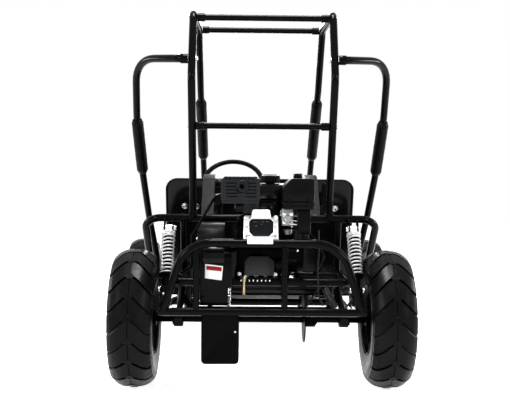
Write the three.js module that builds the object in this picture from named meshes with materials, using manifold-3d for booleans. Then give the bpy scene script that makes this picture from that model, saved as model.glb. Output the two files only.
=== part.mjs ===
// Off road go kart: tube chassis, roll cage, bench seat, single cylinder engine, swing arm rear end.
// Millimetres. X points to the kart's right, Y forward and Z up. Places along Y are measured from
// the rear axle, and the whole kart is then moved so that the middle of its length is at Y = 0.
import * as THREE from 'three';
import { mergeVertices } from 'three/addons/utils/BufferGeometryUtils.js';
import Module from 'manifold-3d';

const wasm = await Module();
wasm.setup();

// Driving dimensions
const fit = 0.3; // gap between pieces that touch
const running = 0.4; // radial clearance of a pin or shaft in its bore
const overrun = 3; // how far a cutter runs past the face that it opens
const weldDistance = 0.001; // points closer than this are one point
const wheelbase = 1220;
// Places along Y from the front axle, so that the nose, pedals and steering go with it
const ahead = {
  narrowing: -90, noseLength: 285, beamToNose: 105, pillarFoot: 150, pedals: 152, shaftFoot: 81.82,
};
const rearWheel = { radius: 241, width: 150, halfTrack: 440 };
const frontWheel = { radius: 200, width: 140, halfTrack: 545 };
const rim = {
  radius: 101, width: 112, wall: 4, flange: 8, discWall: 5, hubRadius: 52, dish: 24, facets: 20,
};
const tyre = { wall: 9, crown: 7, sidewallRadiusShare: 0.77 };
const tube = { radius: 14, bend: 60, bendShare: 0.96, sides: 6 };
const brace = { radius: 11 };
const bolt = { radius: 6, head: 8 };

// Floor frame
const floor = {
  halfWidth: 385, height: 155, rear: 430, seatRear: 560, seatFront: 850,
  narrowing: wheelbase + ahead.narrowing, noseHalfWidth: 250,
  noseEnd: wheelbase + ahead.noseLength - ahead.beamToNose, noseHeight: 190, panWall: 2.5, panMargin: 2,
};
const sideRail = { halfWidth: 445, height: 290, rear: 600, front: 850, footRear: 550, footFront: 940 };
const nose = { y: wheelbase + ahead.noseLength, height: 330, lowHalfWidth: 180 };
const rearRail = { halfWidth: 285, height: 380, kickY: 405, splayStart: -56, splayEnd: -120 };
const bumper = {
  y: -182, halfWidth: 330, topHalfWidth: 258, beamHalfLength: 345, beamZ: 295, topZ: 523, corner: 120,
};
const bumperPost = { x: 72, radius: 11, tabLow: 428, tabHigh: 484, tabReach: 15 };
const shockBar = { halfWidth: 427, y: 150, height: 581, corner: 62, armY: 480, armZ: 292, footY: 640 };
const shockPost = { footY: 185, saddleHalf: 21 };
const pivot = { y: 215, z: 335, halfSpan: 290, lugRadius: 20, lugWidth: 30, pinRadius: 8, plate: 6 };

// Roll cage
const cage = {
  halfWidth: 250, footZ: 602, footRise: 50, kneeZ: 1085, kneeY: 5, topZ: 1318, rearY: 110, frontY: 520,
  pillarTopY: 680, pillarTopZ: 1085, pillarLowY: 1030, pillarLowZ: 755,
  pillarFootY: wheelbase + ahead.pillarFoot, pillarFootZ: 420, midZ: 916, bend: 45, sides: 8,
};
const crossBar = { radius: 11, sleeve: 14.5, sleeveLength: 26 };
const sideBar = {
  halfWidth: 468, rootZ: 1148, rootReach: 30, elbowY: 215, elbowZ: 1166, topY: 330, topZ: 1040,
  padTopX: 489, padTopY: 420, padTopZ: 962, padLowX: 479, padLowY: 552, padLowZ: 728,
  lowY: 690, lowZ: 545, footX: 445, footY: 800, footRise: 60, bend: 130, collar: 17, collarLength: 26,
};
const pad = { radius: 24, tip: 18, taper: 16, insetShare: 0.08, sides: 10 };
const pillarPad = { startShare: 0.12, endShare: 0.86 };

// Seat
const seat = {
  halfWidth: 376, backTopY: 392, backTopZ: 722, backLowY: 520, backLowZ: 262, shellWall: 14,
  baseFront: 935, baseZ: 235, baseWall: 14, cornerRadius: 48, cushionMargin: 14,
  backThick: 74, baseThick: 84, crown: 16, pull: 10, channelDepth: 7, riserX: 200,
};
const belt = { x: 200, width: 46, wall: 3, anchorY: 172, anchorLength: 40 };

// Engine, on its plate above the rear rails
const engine = {
  plateTop: 397, plateWall: 6, plateLeft: -95, plateRight: 130, plateRear: -91, plateFront: 118,
  crankY: 0, crankZ: 490, halfWidth: 88, rear: -70, front: 112, top: 590,
  cylinderLeft: -66, cylinderRight: 52, cylinderHalf: 44, headY: -130, headZ: 566, tilt: 26,
  finWall: 3, finPitch: 12, finReach: 10, recoilRadius: 86, recoilRight: 142,
  lowRound: 14, topRound: 40,
};
const valveCover = {
  wide: 116, height: 80, depth: 58, tab: 18, tabWall: 6, plateWall: 14, round: 18,
  domeHalfWidth: 39, domeHalfHeight: 31, tabHalfWidth: 41, tabTop: 20, tabRound: 4,
};
const muffler = {
  left: -138, right: -14, rear: -150, front: -40, bottom: 652, top: 740, chamfer: 12,
  neckRear: -104, neckFront: -66, neckBottom: 616, outletShare: 0.6, outletRadius: 18, boreRadius: 12,
};
const tank = {
  left: -104, right: 118, rear: -32, front: 128, bottom: 600, top: 714, round: 24, neckRadius: 16,
};
const fuelCap = { x: 28, y: 36, radius: 35, height: 26, flutes: 8 };
const airCleaner = { left: 64, right: 170, rear: -160, front: -40, bottom: 634, top: 737, chamfer: 30 };
const carburettor = { right: 104, rear: -104, bottom: 560, bowl: 16, duct: 22, ductX: 137, ductDrop: 50 };
const recoilHandle = { y: 50, z: 540, radius: 8, length: 62 };
const hose = { radius: 6 };

// Drive from the crank to the rear axle
const drive = {
  shaftRadius: 10, crankCore: 36, crankFlange: 54, driven: 78, drivenCore: 60, beltWidth: 20,
  beltWall: 9, pulleyX: -176, flangeWall: 10, coverOuterX: -222, coverInnerX: -129, coverMargin: 8,
  coverWall: 3, sprocketX: -115, sprocketWall: 5, jackSprocket: 28, axleSprocket: 108,
  chainWall: 12, chainWidth: 11, facets: 14,
};
const guard = {
  left: -208, right: -103, rear: -162, front: -98, topZ: 506, bottomZ: 312, wall: 3, round: 60,
};
const mudflap = { left: -203, right: -77, topZ: 300, bottomZ: 116, wall: 6, round: 12 };

// Swing arm, axle and shocks
const arm = { radius: 12, housingRadius: 32, housingWidth: 36, crossY: 135, crossZ: 246, crossHalf: 250 };
const axle = { radius: 15, halfLength: 470, hubRadius: 26, hubInner: 367, flangeWall: 12 };
const disc = { x: 150, radius: 84, wall: 4, hubRadius: 30, hubLength: 40 };
const shock = {
  x: 334, topY: 105, topZ: 547, lowY: -25, lowZ: 345, eyeRadius: 13, eyeWidth: 26, pinRadius: 6,
  openClearance: 2.4, plate: 5, seatRadius: 26, seatWall: 6, seatDrop: 20, bodyRadius: 14,
  bodyLength: 138, boreTop: 42, rodRadius: 8, rodTop: 84, neck: 10,
};
const spring = { wire: 3.3, radius: 21.7, turns: 11, length: 158, stepsPerTurn: 8, sides: 5 };

// Front end
const kingpin = {
  x: 455, radius: 7, bossRadius: 16, bossHeight: 56, plate: 8, webGap: 2, axle: 10, spacer: 16,
};
const steering = {
  x: -110, footY: wheelbase + ahead.shaftFoot, footZ: 250.18, rimRadius: 130, gripRadius: 11, tilt: 45,
  shaftRadius: 10, shaftLength: 622, hubRadius: 30, spokeWidth: 26, arm: 60, knuckleArm: 80, rodRadius: 7,
  bossRadius: 18, bossLength: 36, upperShare: 0.52, lowerShare: 0.8, rodEnd: 3, rodGap: 1.4, bossLap: 3,
};
const pedal = {
  brakeX: -185, throttleX: -60, y: wheelbase + ahead.pedals, z: 208, height: 165, width: 62, barRadius: 6,
  plateShare: 0.6,
};

// Materials: colour, roughness and metalness as they look in use
const paint = (color, roughness, metalness) =>
  new THREE.MeshStandardMaterial({ color, roughness, metalness });
const finish = {
  frame: paint(0x0c0d0f, 0.32, 0.3),
  foam: paint(0x131314, 0.85, 0),
  rubber: paint(0x17181a, 0.8, 0),
  plastic: paint(0x101113, 0.5, 0),
  vinyl: paint(0x141415, 0.6, 0),
  webbing: paint(0x4b4d50, 0.8, 0),
  aluminium: paint(0xc9ccce, 0.35, 0.9),
  castGrey: paint(0x3a3d40, 0.5, 0.6),
  steel: paint(0xb8bbbe, 0.28, 0.95),
  darkSteel: paint(0x26282b, 0.45, 0.8),
  springWhite: paint(0xf0f0ee, 0.35, 0),
};

// Vector and solid helpers
const at = (x, y, z) => new THREE.Vector3(x, y, z);
const X = at(1, 0, 0);
const Y = at(0, 1, 0);
const Z = at(0, 0, 1);
const sides = [['left', -1], ['right', 1]];

function solidOf(geometry) {
  const bare = geometry.clone();
  bare.deleteAttribute('normal');
  bare.deleteAttribute('uv');
  const merged = mergeVertices(bare, weldDistance);
  const points = merged.attributes.position.array;
  const corners = merged.index.array;
  const faces = [];
  const [a, b, c] = [at(0, 0, 0), at(0, 0, 0), at(0, 0, 0)];
  let volume = 0;
  for (let i = 0; i < corners.length; i += 3) {
    const [p, q, r] = [corners[i], corners[i + 1], corners[i + 2]];
    if (p === q || q === r || r === p) continue;
    a.fromArray(points, p * 3);
    b.fromArray(points, q * 3);
    c.fromArray(points, r * 3);
    volume += a.dot(b.clone().cross(c));
    faces.push([p, q, r]);
  }
  const outward = volume > 0 ? faces : faces.map(([p, q, r]) => [p, r, q]);
  return new wasm.Manifold(new wasm.Mesh({
    numProp: 3,
    vertProperties: new Float32Array(points),
    triVerts: new Uint32Array(outward.flat()),
  }));
}

const join = (...solids) => solids.flat().reduce((whole, next) => whole.add(next));
const cut = (solid, ...tools) => solid.subtract(join(tools));

function piece(name, solid, material) {
  const mesh = solid.getMesh();
  const geometry = new THREE.BufferGeometry();
  geometry.setAttribute('position', new THREE.BufferAttribute(new Float32Array(mesh.vertProperties), 3));
  geometry.setIndex(new THREE.BufferAttribute(new Uint32Array(mesh.triVerts), 1));
  geometry.computeVertexNormals();
  const node = new THREE.Mesh(geometry, material);
  node.name = name;
  return node;
}

// A path of straight stretches and round bends that hands out one ring per station
class BentPath extends THREE.Curve {
  constructor(stations) {
    super();
    this.stations = stations;
  }

  station(u) {
    return this.stations[Math.round(u * (this.stations.length - 1))];
  }

  getPointAt(u, target = new THREE.Vector3()) {
    return target.copy(this.station(u).point);
  }

  getTangentAt(u, target = new THREE.Vector3()) {
    return target.copy(this.station(u).tangent);
  }
}

const bendStep = Math.PI / 5; // a bend takes one ring for each step of this angle

function stationsOf(points, bend) {
  const last = points.length - 1;
  const heading = (i) => points[i + 1].clone().sub(points[i]).normalize();
  const stations = [{ point: points[0], tangent: heading(0) }];
  for (let i = 1; i < last; i += 1) {
    const [into, out] = [heading(i - 1), heading(i)];
    const turn = into.angleTo(out);
    const reach = Math.min(points[i].distanceTo(points[i - 1]), points[i].distanceTo(points[i + 1])) / 2;
    const setback = Math.min(bend * Math.tan(turn / 2), reach * tube.bendShare);
    const radius = setback / Math.tan(turn / 2);
    const inward = out.clone().sub(into.clone().multiplyScalar(out.dot(into))).normalize();
    const start = points[i].clone().addScaledVector(into, -setback);
    const steps = Math.max(1, Math.ceil(turn / bendStep));
    for (let k = 0; k <= steps; k += 1) {
      const angle = turn * k / steps;
      const point = start.clone().addScaledVector(into, radius * Math.sin(angle))
        .addScaledVector(inward, radius * (1 - Math.cos(angle)));
      const tangent = into.clone().multiplyScalar(Math.cos(angle)).addScaledVector(inward, Math.sin(angle));
      stations.push({ point, tangent });
    }
  }
  stations.push({ point: points[last], tangent: heading(last - 1) });
  return stations;
}

function sectionOf(radius, count) {
  const corners = [];
  for (let i = 0; i < count; i += 1) {
    const angle = 2 * Math.PI * i / count;
    corners.push(new THREE.Vector2(radius * Math.cos(angle), radius * Math.sin(angle)));
  }
  return new THREE.Shape(corners);
}

function bent(points, radius = tube.radius, bend = tube.bend, count = tube.sides) {
  const stations = stationsOf(points, bend);
  const extrudePath = new BentPath(stations);
  const shape = sectionOf(radius, count);
  return solidOf(new THREE.ExtrudeGeometry(shape, { steps: stations.length - 1, extrudePath }));
}

// The two X values may come in either order, so that a left piece is written as a right one is
function box(x0, x1, y0, y1, z0, z1) {
  const shape = new THREE.BoxGeometry(Math.abs(x1 - x0), y1 - y0, z1 - z0);
  return solidOf(shape.translate((x0 + x1) / 2, (y0 + y1) / 2, (z0 + z1) / 2));
}

function drum(from, to, radius, count = 12) {
  const span = to.clone().sub(from);
  const shape = new THREE.CylinderGeometry(radius, radius, span.length(), count);
  shape.applyQuaternion(new THREE.Quaternion().setFromUnitVectors(Y, span.clone().normalize()));
  return solidOf(shape.translate(...from.clone().add(to).multiplyScalar(0.5).toArray()));
}

const drumX = (x0, x1, y, z, radius, count) => drum(at(x0, y, z), at(x1, y, z), radius, count);

// A bore's facets stay outside its true circle, so that a round pin turns freely in it
const boreSides = 10;
const boreFor = (radius) => (radius + running) / Math.cos(Math.PI / boreSides);
const boreX = (x0, x1, y, z, radius) => drumX(x0, x1, y, z, boreFor(radius), boreSides);

// A lathe about the X axis: the profile holds [along X, radius] pairs and closes on itself. Its
// facets touch the true circle, and one of them lies flat at the bottom.
function turnedX(profile, count) {
  const spread = 1 / Math.cos(Math.PI / count);
  const points = profile.map(([along, radius]) => new THREE.Vector2(radius * spread, along));
  points.push(points[0].clone());
  const shape = new THREE.LatheGeometry(points, count).rotateZ(-Math.PI / 2);
  return solidOf(shape.rotateX(Math.PI / count));
}

// An outline drawn in (Y, Z) and run along X, or drawn in (X, Y) and run along Z
const cyclic = new THREE.Matrix4().makeBasis(Y, Z, X);

function slabX(outline, x0, x1, curveSegments = 6) {
  const shape = outline instanceof THREE.Shape ? outline : new THREE.Shape(outline);
  const geometry = new THREE.ExtrudeGeometry(shape, { depth: x1 - x0, bevelEnabled: false, curveSegments });
  return solidOf(geometry.applyMatrix4(cyclic).translate(x0, 0, 0));
}

function slabZ(outline, z0, z1, curveSegments = 6) {
  const shape = outline instanceof THREE.Shape ? outline : new THREE.Shape(outline);
  const geometry = new THREE.ExtrudeGeometry(shape, { depth: z1 - z0, bevelEnabled: false, curveSegments });
  return solidOf(geometry.translate(0, 0, z0));
}

// An outline drawn in (X, Z) and run along Y
function slabY(outline, y0, y1, curveSegments = 6) {
  const shape = outline instanceof THREE.Shape ? outline : new THREE.Shape(outline);
  const geometry = new THREE.ExtrudeGeometry(shape, { depth: y1 - y0, bevelEnabled: false, curveSegments });
  return solidOf(geometry.rotateX(Math.PI / 2).translate(0, y1, 0));
}

const p2 = (u, v) => new THREE.Vector2(u, v);

function roundedRect(u0, u1, v0, v1, low, high = low) {
  const shape = new THREE.Shape();
  shape.moveTo(u0 + low, v0);
  shape.lineTo(u1 - low, v0);
  shape.quadraticCurveTo(u1, v0, u1, v0 + low);
  shape.lineTo(u1, v1 - high);
  shape.quadraticCurveTo(u1, v1, u1 - high, v1);
  shape.lineTo(u0 + high, v1);
  shape.quadraticCurveTo(u0, v1, u0, v1 - high);
  shape.lineTo(u0, v0 + low);
  shape.quadraticCurveTo(u0, v0, u0 + low, v0);
  return shape;
}

// The outline that a belt takes round two wheels, with its facets touching the true circles
function aroundTwo(a, radiusA, b, radiusB, count = 9) {
  const span = b.clone().sub(a);
  const heading = Math.atan2(span.y, span.x);
  const open = Math.acos((radiusA - radiusB) / span.length());
  const points = [];
  const arc = (centre, radius, from, to) => {
    const reach = radius / Math.cos((to - from) / count / 2);
    for (let i = 0; i <= count; i += 1) {
      const angle = from + (to - from) * i / count;
      points.push(p2(centre.x + reach * Math.cos(angle), centre.y + reach * Math.sin(angle)));
    }
  };
  arc(a, radiusA, heading + open, heading + 2 * Math.PI - open);
  arc(b, radiusB, heading - open, heading + open);
  return points;
}

function loopX(a, radiusA, b, radiusB, wall, x0, x1) {
  const outer = slabX(aroundTwo(a, radiusA + wall, b, radiusB + wall), x0, x1);
  return cut(outer, slabX(aroundTwo(a, radiusA, b, radiusB), x0 - overrun, x1 + overrun));
}

const both = (build) => [build(-1), build(1)];
const mirrorPath = (side, points) => points.map(([x, y, z]) => at(side * x, y, z));

// Chassis
const shockBarPath = [
  [floor.halfWidth, shockBar.footY, floor.height],
  [shockBar.halfWidth, shockBar.armY, shockBar.armZ],
  [shockBar.halfWidth, shockBar.y, shockBar.height],
];

// The bumper's hoop leans inward as it rises.
const bumperHalfAt = (z) => bumper.halfWidth
  + (bumper.topHalfWidth - bumper.halfWidth) * (z - bumper.beamZ) / (bumper.topZ - bumper.beamZ);

function floorTubes() {
  const rail = (side) => bent(mirrorPath(side, [
    [floor.halfWidth, floor.rear, floor.height],
    [floor.halfWidth, floor.seatFront, floor.height],
    [floor.noseHalfWidth, floor.narrowing, floor.height],
    [floor.noseHalfWidth, floor.noseEnd, floor.noseHeight],
  ]), tube.radius, 3 * tube.bend);
  const across = (y, z, half) => bent([at(-half, y, z), at(half, y, z)]);
  const kick = (side) => bent(mirrorPath(side, [
    [rearRail.halfWidth, floor.rear, floor.height],
    [rearRail.halfWidth, rearRail.kickY, rearRail.height],
    [rearRail.halfWidth, rearRail.splayStart, rearRail.height],
    [bumperHalfAt(rearRail.height), rearRail.splayEnd, rearRail.height],
    [bumperHalfAt(rearRail.height), bumper.y + tube.radius + fit, rearRail.height],
  ]), tube.radius, tube.bend / 2);
  return [
    ...both(rail), ...both(kick),
    across(floor.rear, floor.height, floor.halfWidth + tube.radius),
    across(floor.seatRear, floor.height, floor.halfWidth),
    across(floor.seatFront, floor.height, floor.halfWidth),
    across(floor.noseEnd, floor.noseHeight, floor.noseHalfWidth + tube.radius),
  ];
}

function sideTubes(side) {
  return bent(mirrorPath(side, [
    [floor.halfWidth, sideRail.footRear, floor.height],
    [sideRail.halfWidth, sideRail.rear, sideRail.height],
    [sideRail.halfWidth, sideRail.front, sideRail.height],
    [floor.noseHalfWidth + (floor.halfWidth - floor.noseHalfWidth)
      * (floor.narrowing - sideRail.footFront) / (floor.narrowing - floor.seatFront),
    sideRail.footFront, floor.height],
  ]), brace.radius);
}

function shockTower() {
  const [left, right] = both((side) => mirrorPath(side, shockBarPath));
  const post = (side) => bent(mirrorPath(side, [
    [rearRail.halfWidth, shockPost.footY, rearRail.height],
    [rearRail.halfWidth, shockBar.y, shockBar.height],
  ]), brace.radius);
  const saddle = (side) => box(
    side * cage.halfWidth - tube.radius, side * cage.halfWidth + tube.radius,
    shockBar.y - shockPost.saddleHalf, shockBar.y + shockPost.saddleHalf, shockBar.height, cage.footZ,
  );
  const beltFoot = (side) => box(
    side * belt.x - belt.width / 2, side * belt.x + belt.width / 2,
    shockBar.y, belt.anchorY + belt.anchorLength, shockBar.height - brace.radius, shockBar.height,
  );
  return [
    bent([...left, ...right.reverse()], tube.radius, shockBar.corner),
    ...both(post), ...both(saddle), ...both(beltFoot), ...both(shockEar),
  ];
}

function shockEar(side) {
  const inner = shock.eyeWidth / 2 + fit;
  const outline = roundedRect(
    shock.topY - shock.eyeRadius, shockBar.y,
    shock.topZ - shock.eyeRadius, shockBar.height, bolt.radius,
  );
  const plate = (x) => slabX(outline, x, x + shock.plate, 1);
  const centre = side * shock.x;
  const pin = drumX(
    centre - inner - shock.plate - bolt.head, centre + inner + shock.plate + bolt.head,
    shock.topY, shock.topZ, shock.pinRadius, 8,
  );
  return join(plate(centre - inner - shock.plate), plate(centre + inner), pin);
}

function pivotFork(side) {
  const half = pivot.lugWidth / 2 + fit;
  const low = pivot.z - pivot.lugRadius;
  const outline = roundedRect(
    pivot.y - pivot.lugRadius, pivot.y + pivot.lugRadius, low, rearRail.height, bolt.radius,
  );
  const centre = side * pivot.halfSpan;
  const plate = (x) => slabX(outline, x, x + pivot.plate, 1);
  const cap = box(
    centre - half - pivot.plate, centre + half + pivot.plate, pivot.y - pivot.lugRadius,
    pivot.y + pivot.lugRadius, rearRail.height - tube.radius, rearRail.height,
  );
  const pin = drumX(
    centre - half - pivot.plate - bolt.head, centre + half + pivot.plate + bolt.head,
    pivot.y, pivot.z, pivot.pinRadius, 8,
  );
  return join(plate(centre - half - pivot.plate), plate(centre + half), cap, pin);
}

function engineCradle() {
  const plateBottom = engine.plateTop - engine.plateWall;
  const plate = box(
    engine.plateLeft, engine.plateRight, engine.plateRear, engine.plateFront, plateBottom, engine.plateTop,
  );
  const rearTube = bent([
    at(-rearRail.halfWidth, engine.plateRear + brace.radius, rearRail.height),
    at(rearRail.halfWidth, engine.plateRear + brace.radius, rearRail.height),
  ]);
  const frontTube = bent([
    at(engine.plateLeft + brace.radius, engine.plateFront - 2 * brace.radius, rearRail.height),
    at(rearRail.halfWidth, engine.plateFront - 2 * brace.radius, rearRail.height),
  ]);
  const hangerLeft = engine.plateLeft;
  const hanger = cut(
    box(hangerLeft, hangerLeft + engine.plateWall, pivot.y - 2 * drive.shaftRadius,
      pivot.y + 2 * drive.shaftRadius, pivot.z - 2 * drive.shaftRadius, engine.plateTop),
    boreX(hangerLeft - overrun, hangerLeft + engine.plateWall + overrun, pivot.y, pivot.z, drive.shaftRadius),
  );
  const shelf = box(
    hangerLeft, hangerLeft + 2 * brace.radius, engine.plateRear, pivot.y + 2 * drive.shaftRadius,
    plateBottom, engine.plateTop,
  );
  return [plate, rearTube, frontTube, hanger, shelf];
}

const shaftHeading = at(0, Math.sin(THREE.MathUtils.degToRad(steering.tilt)),
  -Math.cos(THREE.MathUtils.degToRad(steering.tilt)));
const shaftAt = (share) => at(steering.x, steering.footY, steering.footZ)
  .addScaledVector(shaftHeading, steering.shaftLength * (share - 1));

function steeringBoss(share) {
  const centre = shaftAt(share);
  const half = steering.bossLength / 2;
  return drum(centre.clone().addScaledVector(shaftHeading, -half),
    centre.clone().addScaledVector(shaftHeading, half), steering.bossRadius, 8);
}

function steeringStays() {
  const upper = shaftAt(steering.upperShare);
  const under = steering.bossRadius + brace.radius - steering.bossLap;
  const barY = upper.y + under * shaftHeading.z;
  const barZ = upper.z - under * shaftHeading.y;
  const half = floor.noseHalfWidth;
  const hoop = bent([
    at(-half, floor.narrowing, floor.height), at(-half, barY, barZ),
    at(half, barY, barZ), at(half, floor.narrowing, floor.height),
  ], brace.radius);
  const lower = shaftAt(steering.lowerShare);
  const strut = bent([
    at(steering.x, wheelbase, floor.noseHeight),
    at(steering.x, lower.y, lower.z - steering.bossRadius / 2),
  ], brace.radius);
  const whole = join(hoop, strut, steeringBoss(steering.upperShare), steeringBoss(steering.lowerShare));
  const bore = drum(shaftAt(0), shaftAt(1 + steering.lowerShare), boreFor(steering.shaftRadius), boreSides);
  return cut(whole, bore);
}

function frontBeam() {
  const boss = (side) => drum(
    at(side * kingpin.x, wheelbase, frontWheel.radius - kingpin.bossHeight / 2),
    at(side * kingpin.x, wheelbase, frontWheel.radius + kingpin.bossHeight / 2), kingpin.bossRadius, 10,
  );
  const bore = (side) => drum(
    at(side * kingpin.x, wheelbase, frontWheel.radius - kingpin.bossHeight),
    at(side * kingpin.x, wheelbase, frontWheel.radius + kingpin.bossHeight),
    boreFor(kingpin.radius), boreSides,
  );
  const beam = bent([
    at(-kingpin.x, wheelbase, floor.noseHeight), at(kingpin.x, wheelbase, floor.noseHeight),
  ]);
  return cut(join(beam, both(boss)), ...both(bore));
}

function noseBars() {
  const low = floor.noseHeight;
  const guardHoop = bent([
    at(-floor.noseHalfWidth, floor.noseEnd, low), at(-floor.noseHalfWidth, nose.y, low),
    at(-nose.lowHalfWidth, nose.y, nose.height), at(nose.lowHalfWidth, nose.y, nose.height),
    at(floor.noseHalfWidth, nose.y, low), at(floor.noseHalfWidth, floor.noseEnd, low),
  ]);
  const cross = bent([
    at(-floor.noseHalfWidth, nose.y, low), at(floor.noseHalfWidth, nose.y, low),
  ], brace.radius);
  return [guardHoop, cross];
}

function pedalPivots() {
  const low = floor.noseHeight;
  const tab = (x) => join(
    box(x - pedal.barRadius, x + pedal.barRadius, pedal.y - pedal.barRadius, floor.noseEnd, low, pedal.z),
    drumX(x - pedal.width / 2, x + pedal.width / 2, pedal.y, pedal.z, pedal.barRadius, 8),
  );
  return [tab(pedal.brakeX), tab(pedal.throttleX)];
}

function seatRisers() {
  const riser = (x, y) => bent([at(x, y, floor.height), at(x, y, seat.baseZ - fit)], brace.radius);
  return both((side) => [
    riser(side * seat.riserX, floor.seatRear), riser(side * seat.riserX, floor.seatFront),
  ]).flat();
}

function mainFrame() {
  return join(
    floorTubes(), both(sideTubes), shockTower(), both(pivotFork), engineCradle(),
    frontBeam(), noseBars(), seatRisers(), steeringStays(), pedalPivots(),
  );
}

function floorPan() {
  const half = floor.halfWidth - floor.panMargin;
  const noseHalf = floor.noseHalfWidth - floor.panMargin;
  const top = floor.height - tube.radius - fit;
  const outline = [
    p2(-half, floor.seatFront), p2(half, floor.seatFront),
    p2(noseHalf, floor.narrowing), p2(-noseHalf, floor.narrowing),
  ];
  return slabZ(outline, top - floor.panWall, top);
}

function rearBumper() {
  const hoop = bent([
    at(-bumper.halfWidth, bumper.y, bumper.beamZ), at(-bumper.topHalfWidth, bumper.y, bumper.topZ),
    at(bumper.topHalfWidth, bumper.y, bumper.topZ), at(bumper.halfWidth, bumper.y, bumper.beamZ),
  ], tube.radius, bumper.corner, cage.sides);
  const beam = bent([
    at(-bumper.beamHalfLength, bumper.y, bumper.beamZ), at(bumper.beamHalfLength, bumper.y, bumper.beamZ),
  ], tube.radius, bumper.corner, cage.sides);
  const post = (x) => bent([at(x, bumper.y, bumper.beamZ), at(x, bumper.y, bumper.topZ)], bumperPost.radius);
  const boltAt = (x) => drum(at(x, bumper.y, bumper.beamZ),
    at(x, bumper.y, bumper.beamZ + tube.radius + bolt.head / 2), bolt.radius, 8);
  const guardTab = box(guardPostX - bolt.head, guardPostX + bolt.head,
    bumper.y, bumper.y + bumperPost.tabReach, bumperPost.tabLow, bumperPost.tabHigh);
  const bolts = both((side) => boltAt(side * bumper.halfWidth));
  return join(hoop, beam, post(bumperPost.x), post(guardPostX), guardTab, bolts);
}

// Roll cage
const guardPostX = guard.left - fit - bumperPost.radius;

const cageFootY = shockBar.y;

function cagePath() {
  return [
    [cage.halfWidth, cageFootY, cage.footZ + fit],
    [cage.halfWidth, cageFootY, cage.footZ + cage.footRise],
    [cage.halfWidth, cage.kneeY, cage.kneeZ],
    [cage.halfWidth, cage.rearY, cage.topZ],
    [cage.halfWidth, cage.frontY, cage.topZ],
    [cage.halfWidth, cage.pillarTopY, cage.pillarTopZ],
    [cage.halfWidth, cage.pillarLowY, cage.pillarLowZ],
    [cage.halfWidth, cage.pillarFootY, cage.pillarFootZ],
    [cage.halfWidth, floor.noseEnd, floor.noseHeight + tube.radius + fit],
  ];
}

const uprightYAt = (z) => {
  const bottom = cage.footZ + cage.footRise;
  return cageFootY + (cage.kneeY - cageFootY) * (z - bottom) / (cage.kneeZ - bottom);
};
const backYAt = (z) => (z < cage.kneeZ ? uprightYAt(z)
  : cage.kneeY + (cage.rearY - cage.kneeY) * (z - cage.kneeZ) / (cage.topZ - cage.kneeZ));

function cageSide(side) {
  const frame = bent(mirrorPath(side, cagePath()), tube.radius, cage.bend, cage.sides);
  const outer = side * (cage.halfWidth + tube.radius + bolt.head);
  const stud = (y, z) => drumX(side * cage.halfWidth, outer, y, z, bolt.radius, 8);
  return join(frame, stud(backYAt(cage.midZ), cage.midZ));
}

function cageBar(y, z) {
  const half = cage.halfWidth - tube.radius - fit;
  const sleeve = (side) => drumX(
    side * (half - crossBar.sleeveLength), side * half, y, z, crossBar.sleeve, cage.sides,
  );
  const bar = bent([at(-half, y, z), at(half, y, z)], crossBar.radius, cage.bend, cage.sides);
  return join(bar, both(sleeve));
}

// The side bar leaves the upright, turns down beside the seat and stands on the side tube
function sideBarPath(side) {
  return mirrorPath(side, [
    [cage.halfWidth + tube.radius + fit, backYAt(sideBar.rootZ), sideBar.rootZ],
    [cage.halfWidth + tube.radius + sideBar.rootReach, backYAt(sideBar.rootZ), sideBar.rootZ],
    [sideBar.halfWidth, sideBar.elbowY, sideBar.elbowZ],
    [sideBar.padTopX, sideBar.padTopY, sideBar.padTopZ],
    [sideBar.padLowX, sideBar.padLowY, sideBar.padLowZ],
    [sideBar.halfWidth, sideBar.lowY, sideBar.lowZ],
    [sideBar.footX, sideBar.footY, sideRail.height + brace.radius + sideBar.footRise],
    [sideBar.footX, sideBar.footY, sideRail.height + brace.radius + fit],
  ]);
}

function sideBarSolid(side) {
  const path = sideBarPath(side);
  const toElbow = path[1].clone().sub(path[0]).normalize();
  const collarEnd = path[0].clone().addScaledVector(toElbow, sideBar.collarLength);
  const collar = drum(path[0], collarEnd, sideBar.collar, cage.sides);
  return join(bent(path, tube.radius, sideBar.bend, cage.sides), collar);
}

function padAround(from, to) {
  const length = to.clone().sub(from).length();
  const bore = tube.radius + fit;
  const shape = turnedX([
    [0, bore], [length, bore], [length, pad.tip], [length - pad.taper, pad.radius],
    [pad.taper, pad.radius], [0, pad.tip],
  ], pad.sides);
  return { shape, from, heading: to.clone().sub(from).normalize() };
}

function placedPad(name, { shape, from, heading }) {
  const node = piece(name, shape, finish.foam);
  node.position.copy(from);
  node.quaternion.setFromUnitVectors(X, heading);
  return node;
}

function sidePad(side) {
  const [, , , top, low] = sideBarPath(side);
  const inset = low.clone().sub(top).multiplyScalar(pad.insetShare);
  return padAround(top.clone().add(inset), low.clone().sub(inset));
}

function pillarPadOf(side) {
  const top = at(side * cage.halfWidth, cage.pillarTopY, cage.pillarTopZ);
  const low = at(side * cage.halfWidth, cage.pillarLowY, cage.pillarLowZ);
  return padAround(top.clone().lerp(low, pillarPad.startShare), top.clone().lerp(low, pillarPad.endShare));
}

// Seat: a moulded shell with a back panel and a base, and two padded pieces on it
const backLean = Math.atan2(seat.backLowY - seat.backTopY, seat.backTopZ - seat.backLowZ);
const backLength = Math.hypot(seat.backLowY - seat.backTopY, seat.backTopZ - seat.backLowZ);

function leanBack(solid) {
  const lean = new THREE.Matrix4().makeRotationX(backLean);
  lean.setPosition(0, seat.backLowY, seat.backLowZ);
  return solid.transform(lean.elements);
}

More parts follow.
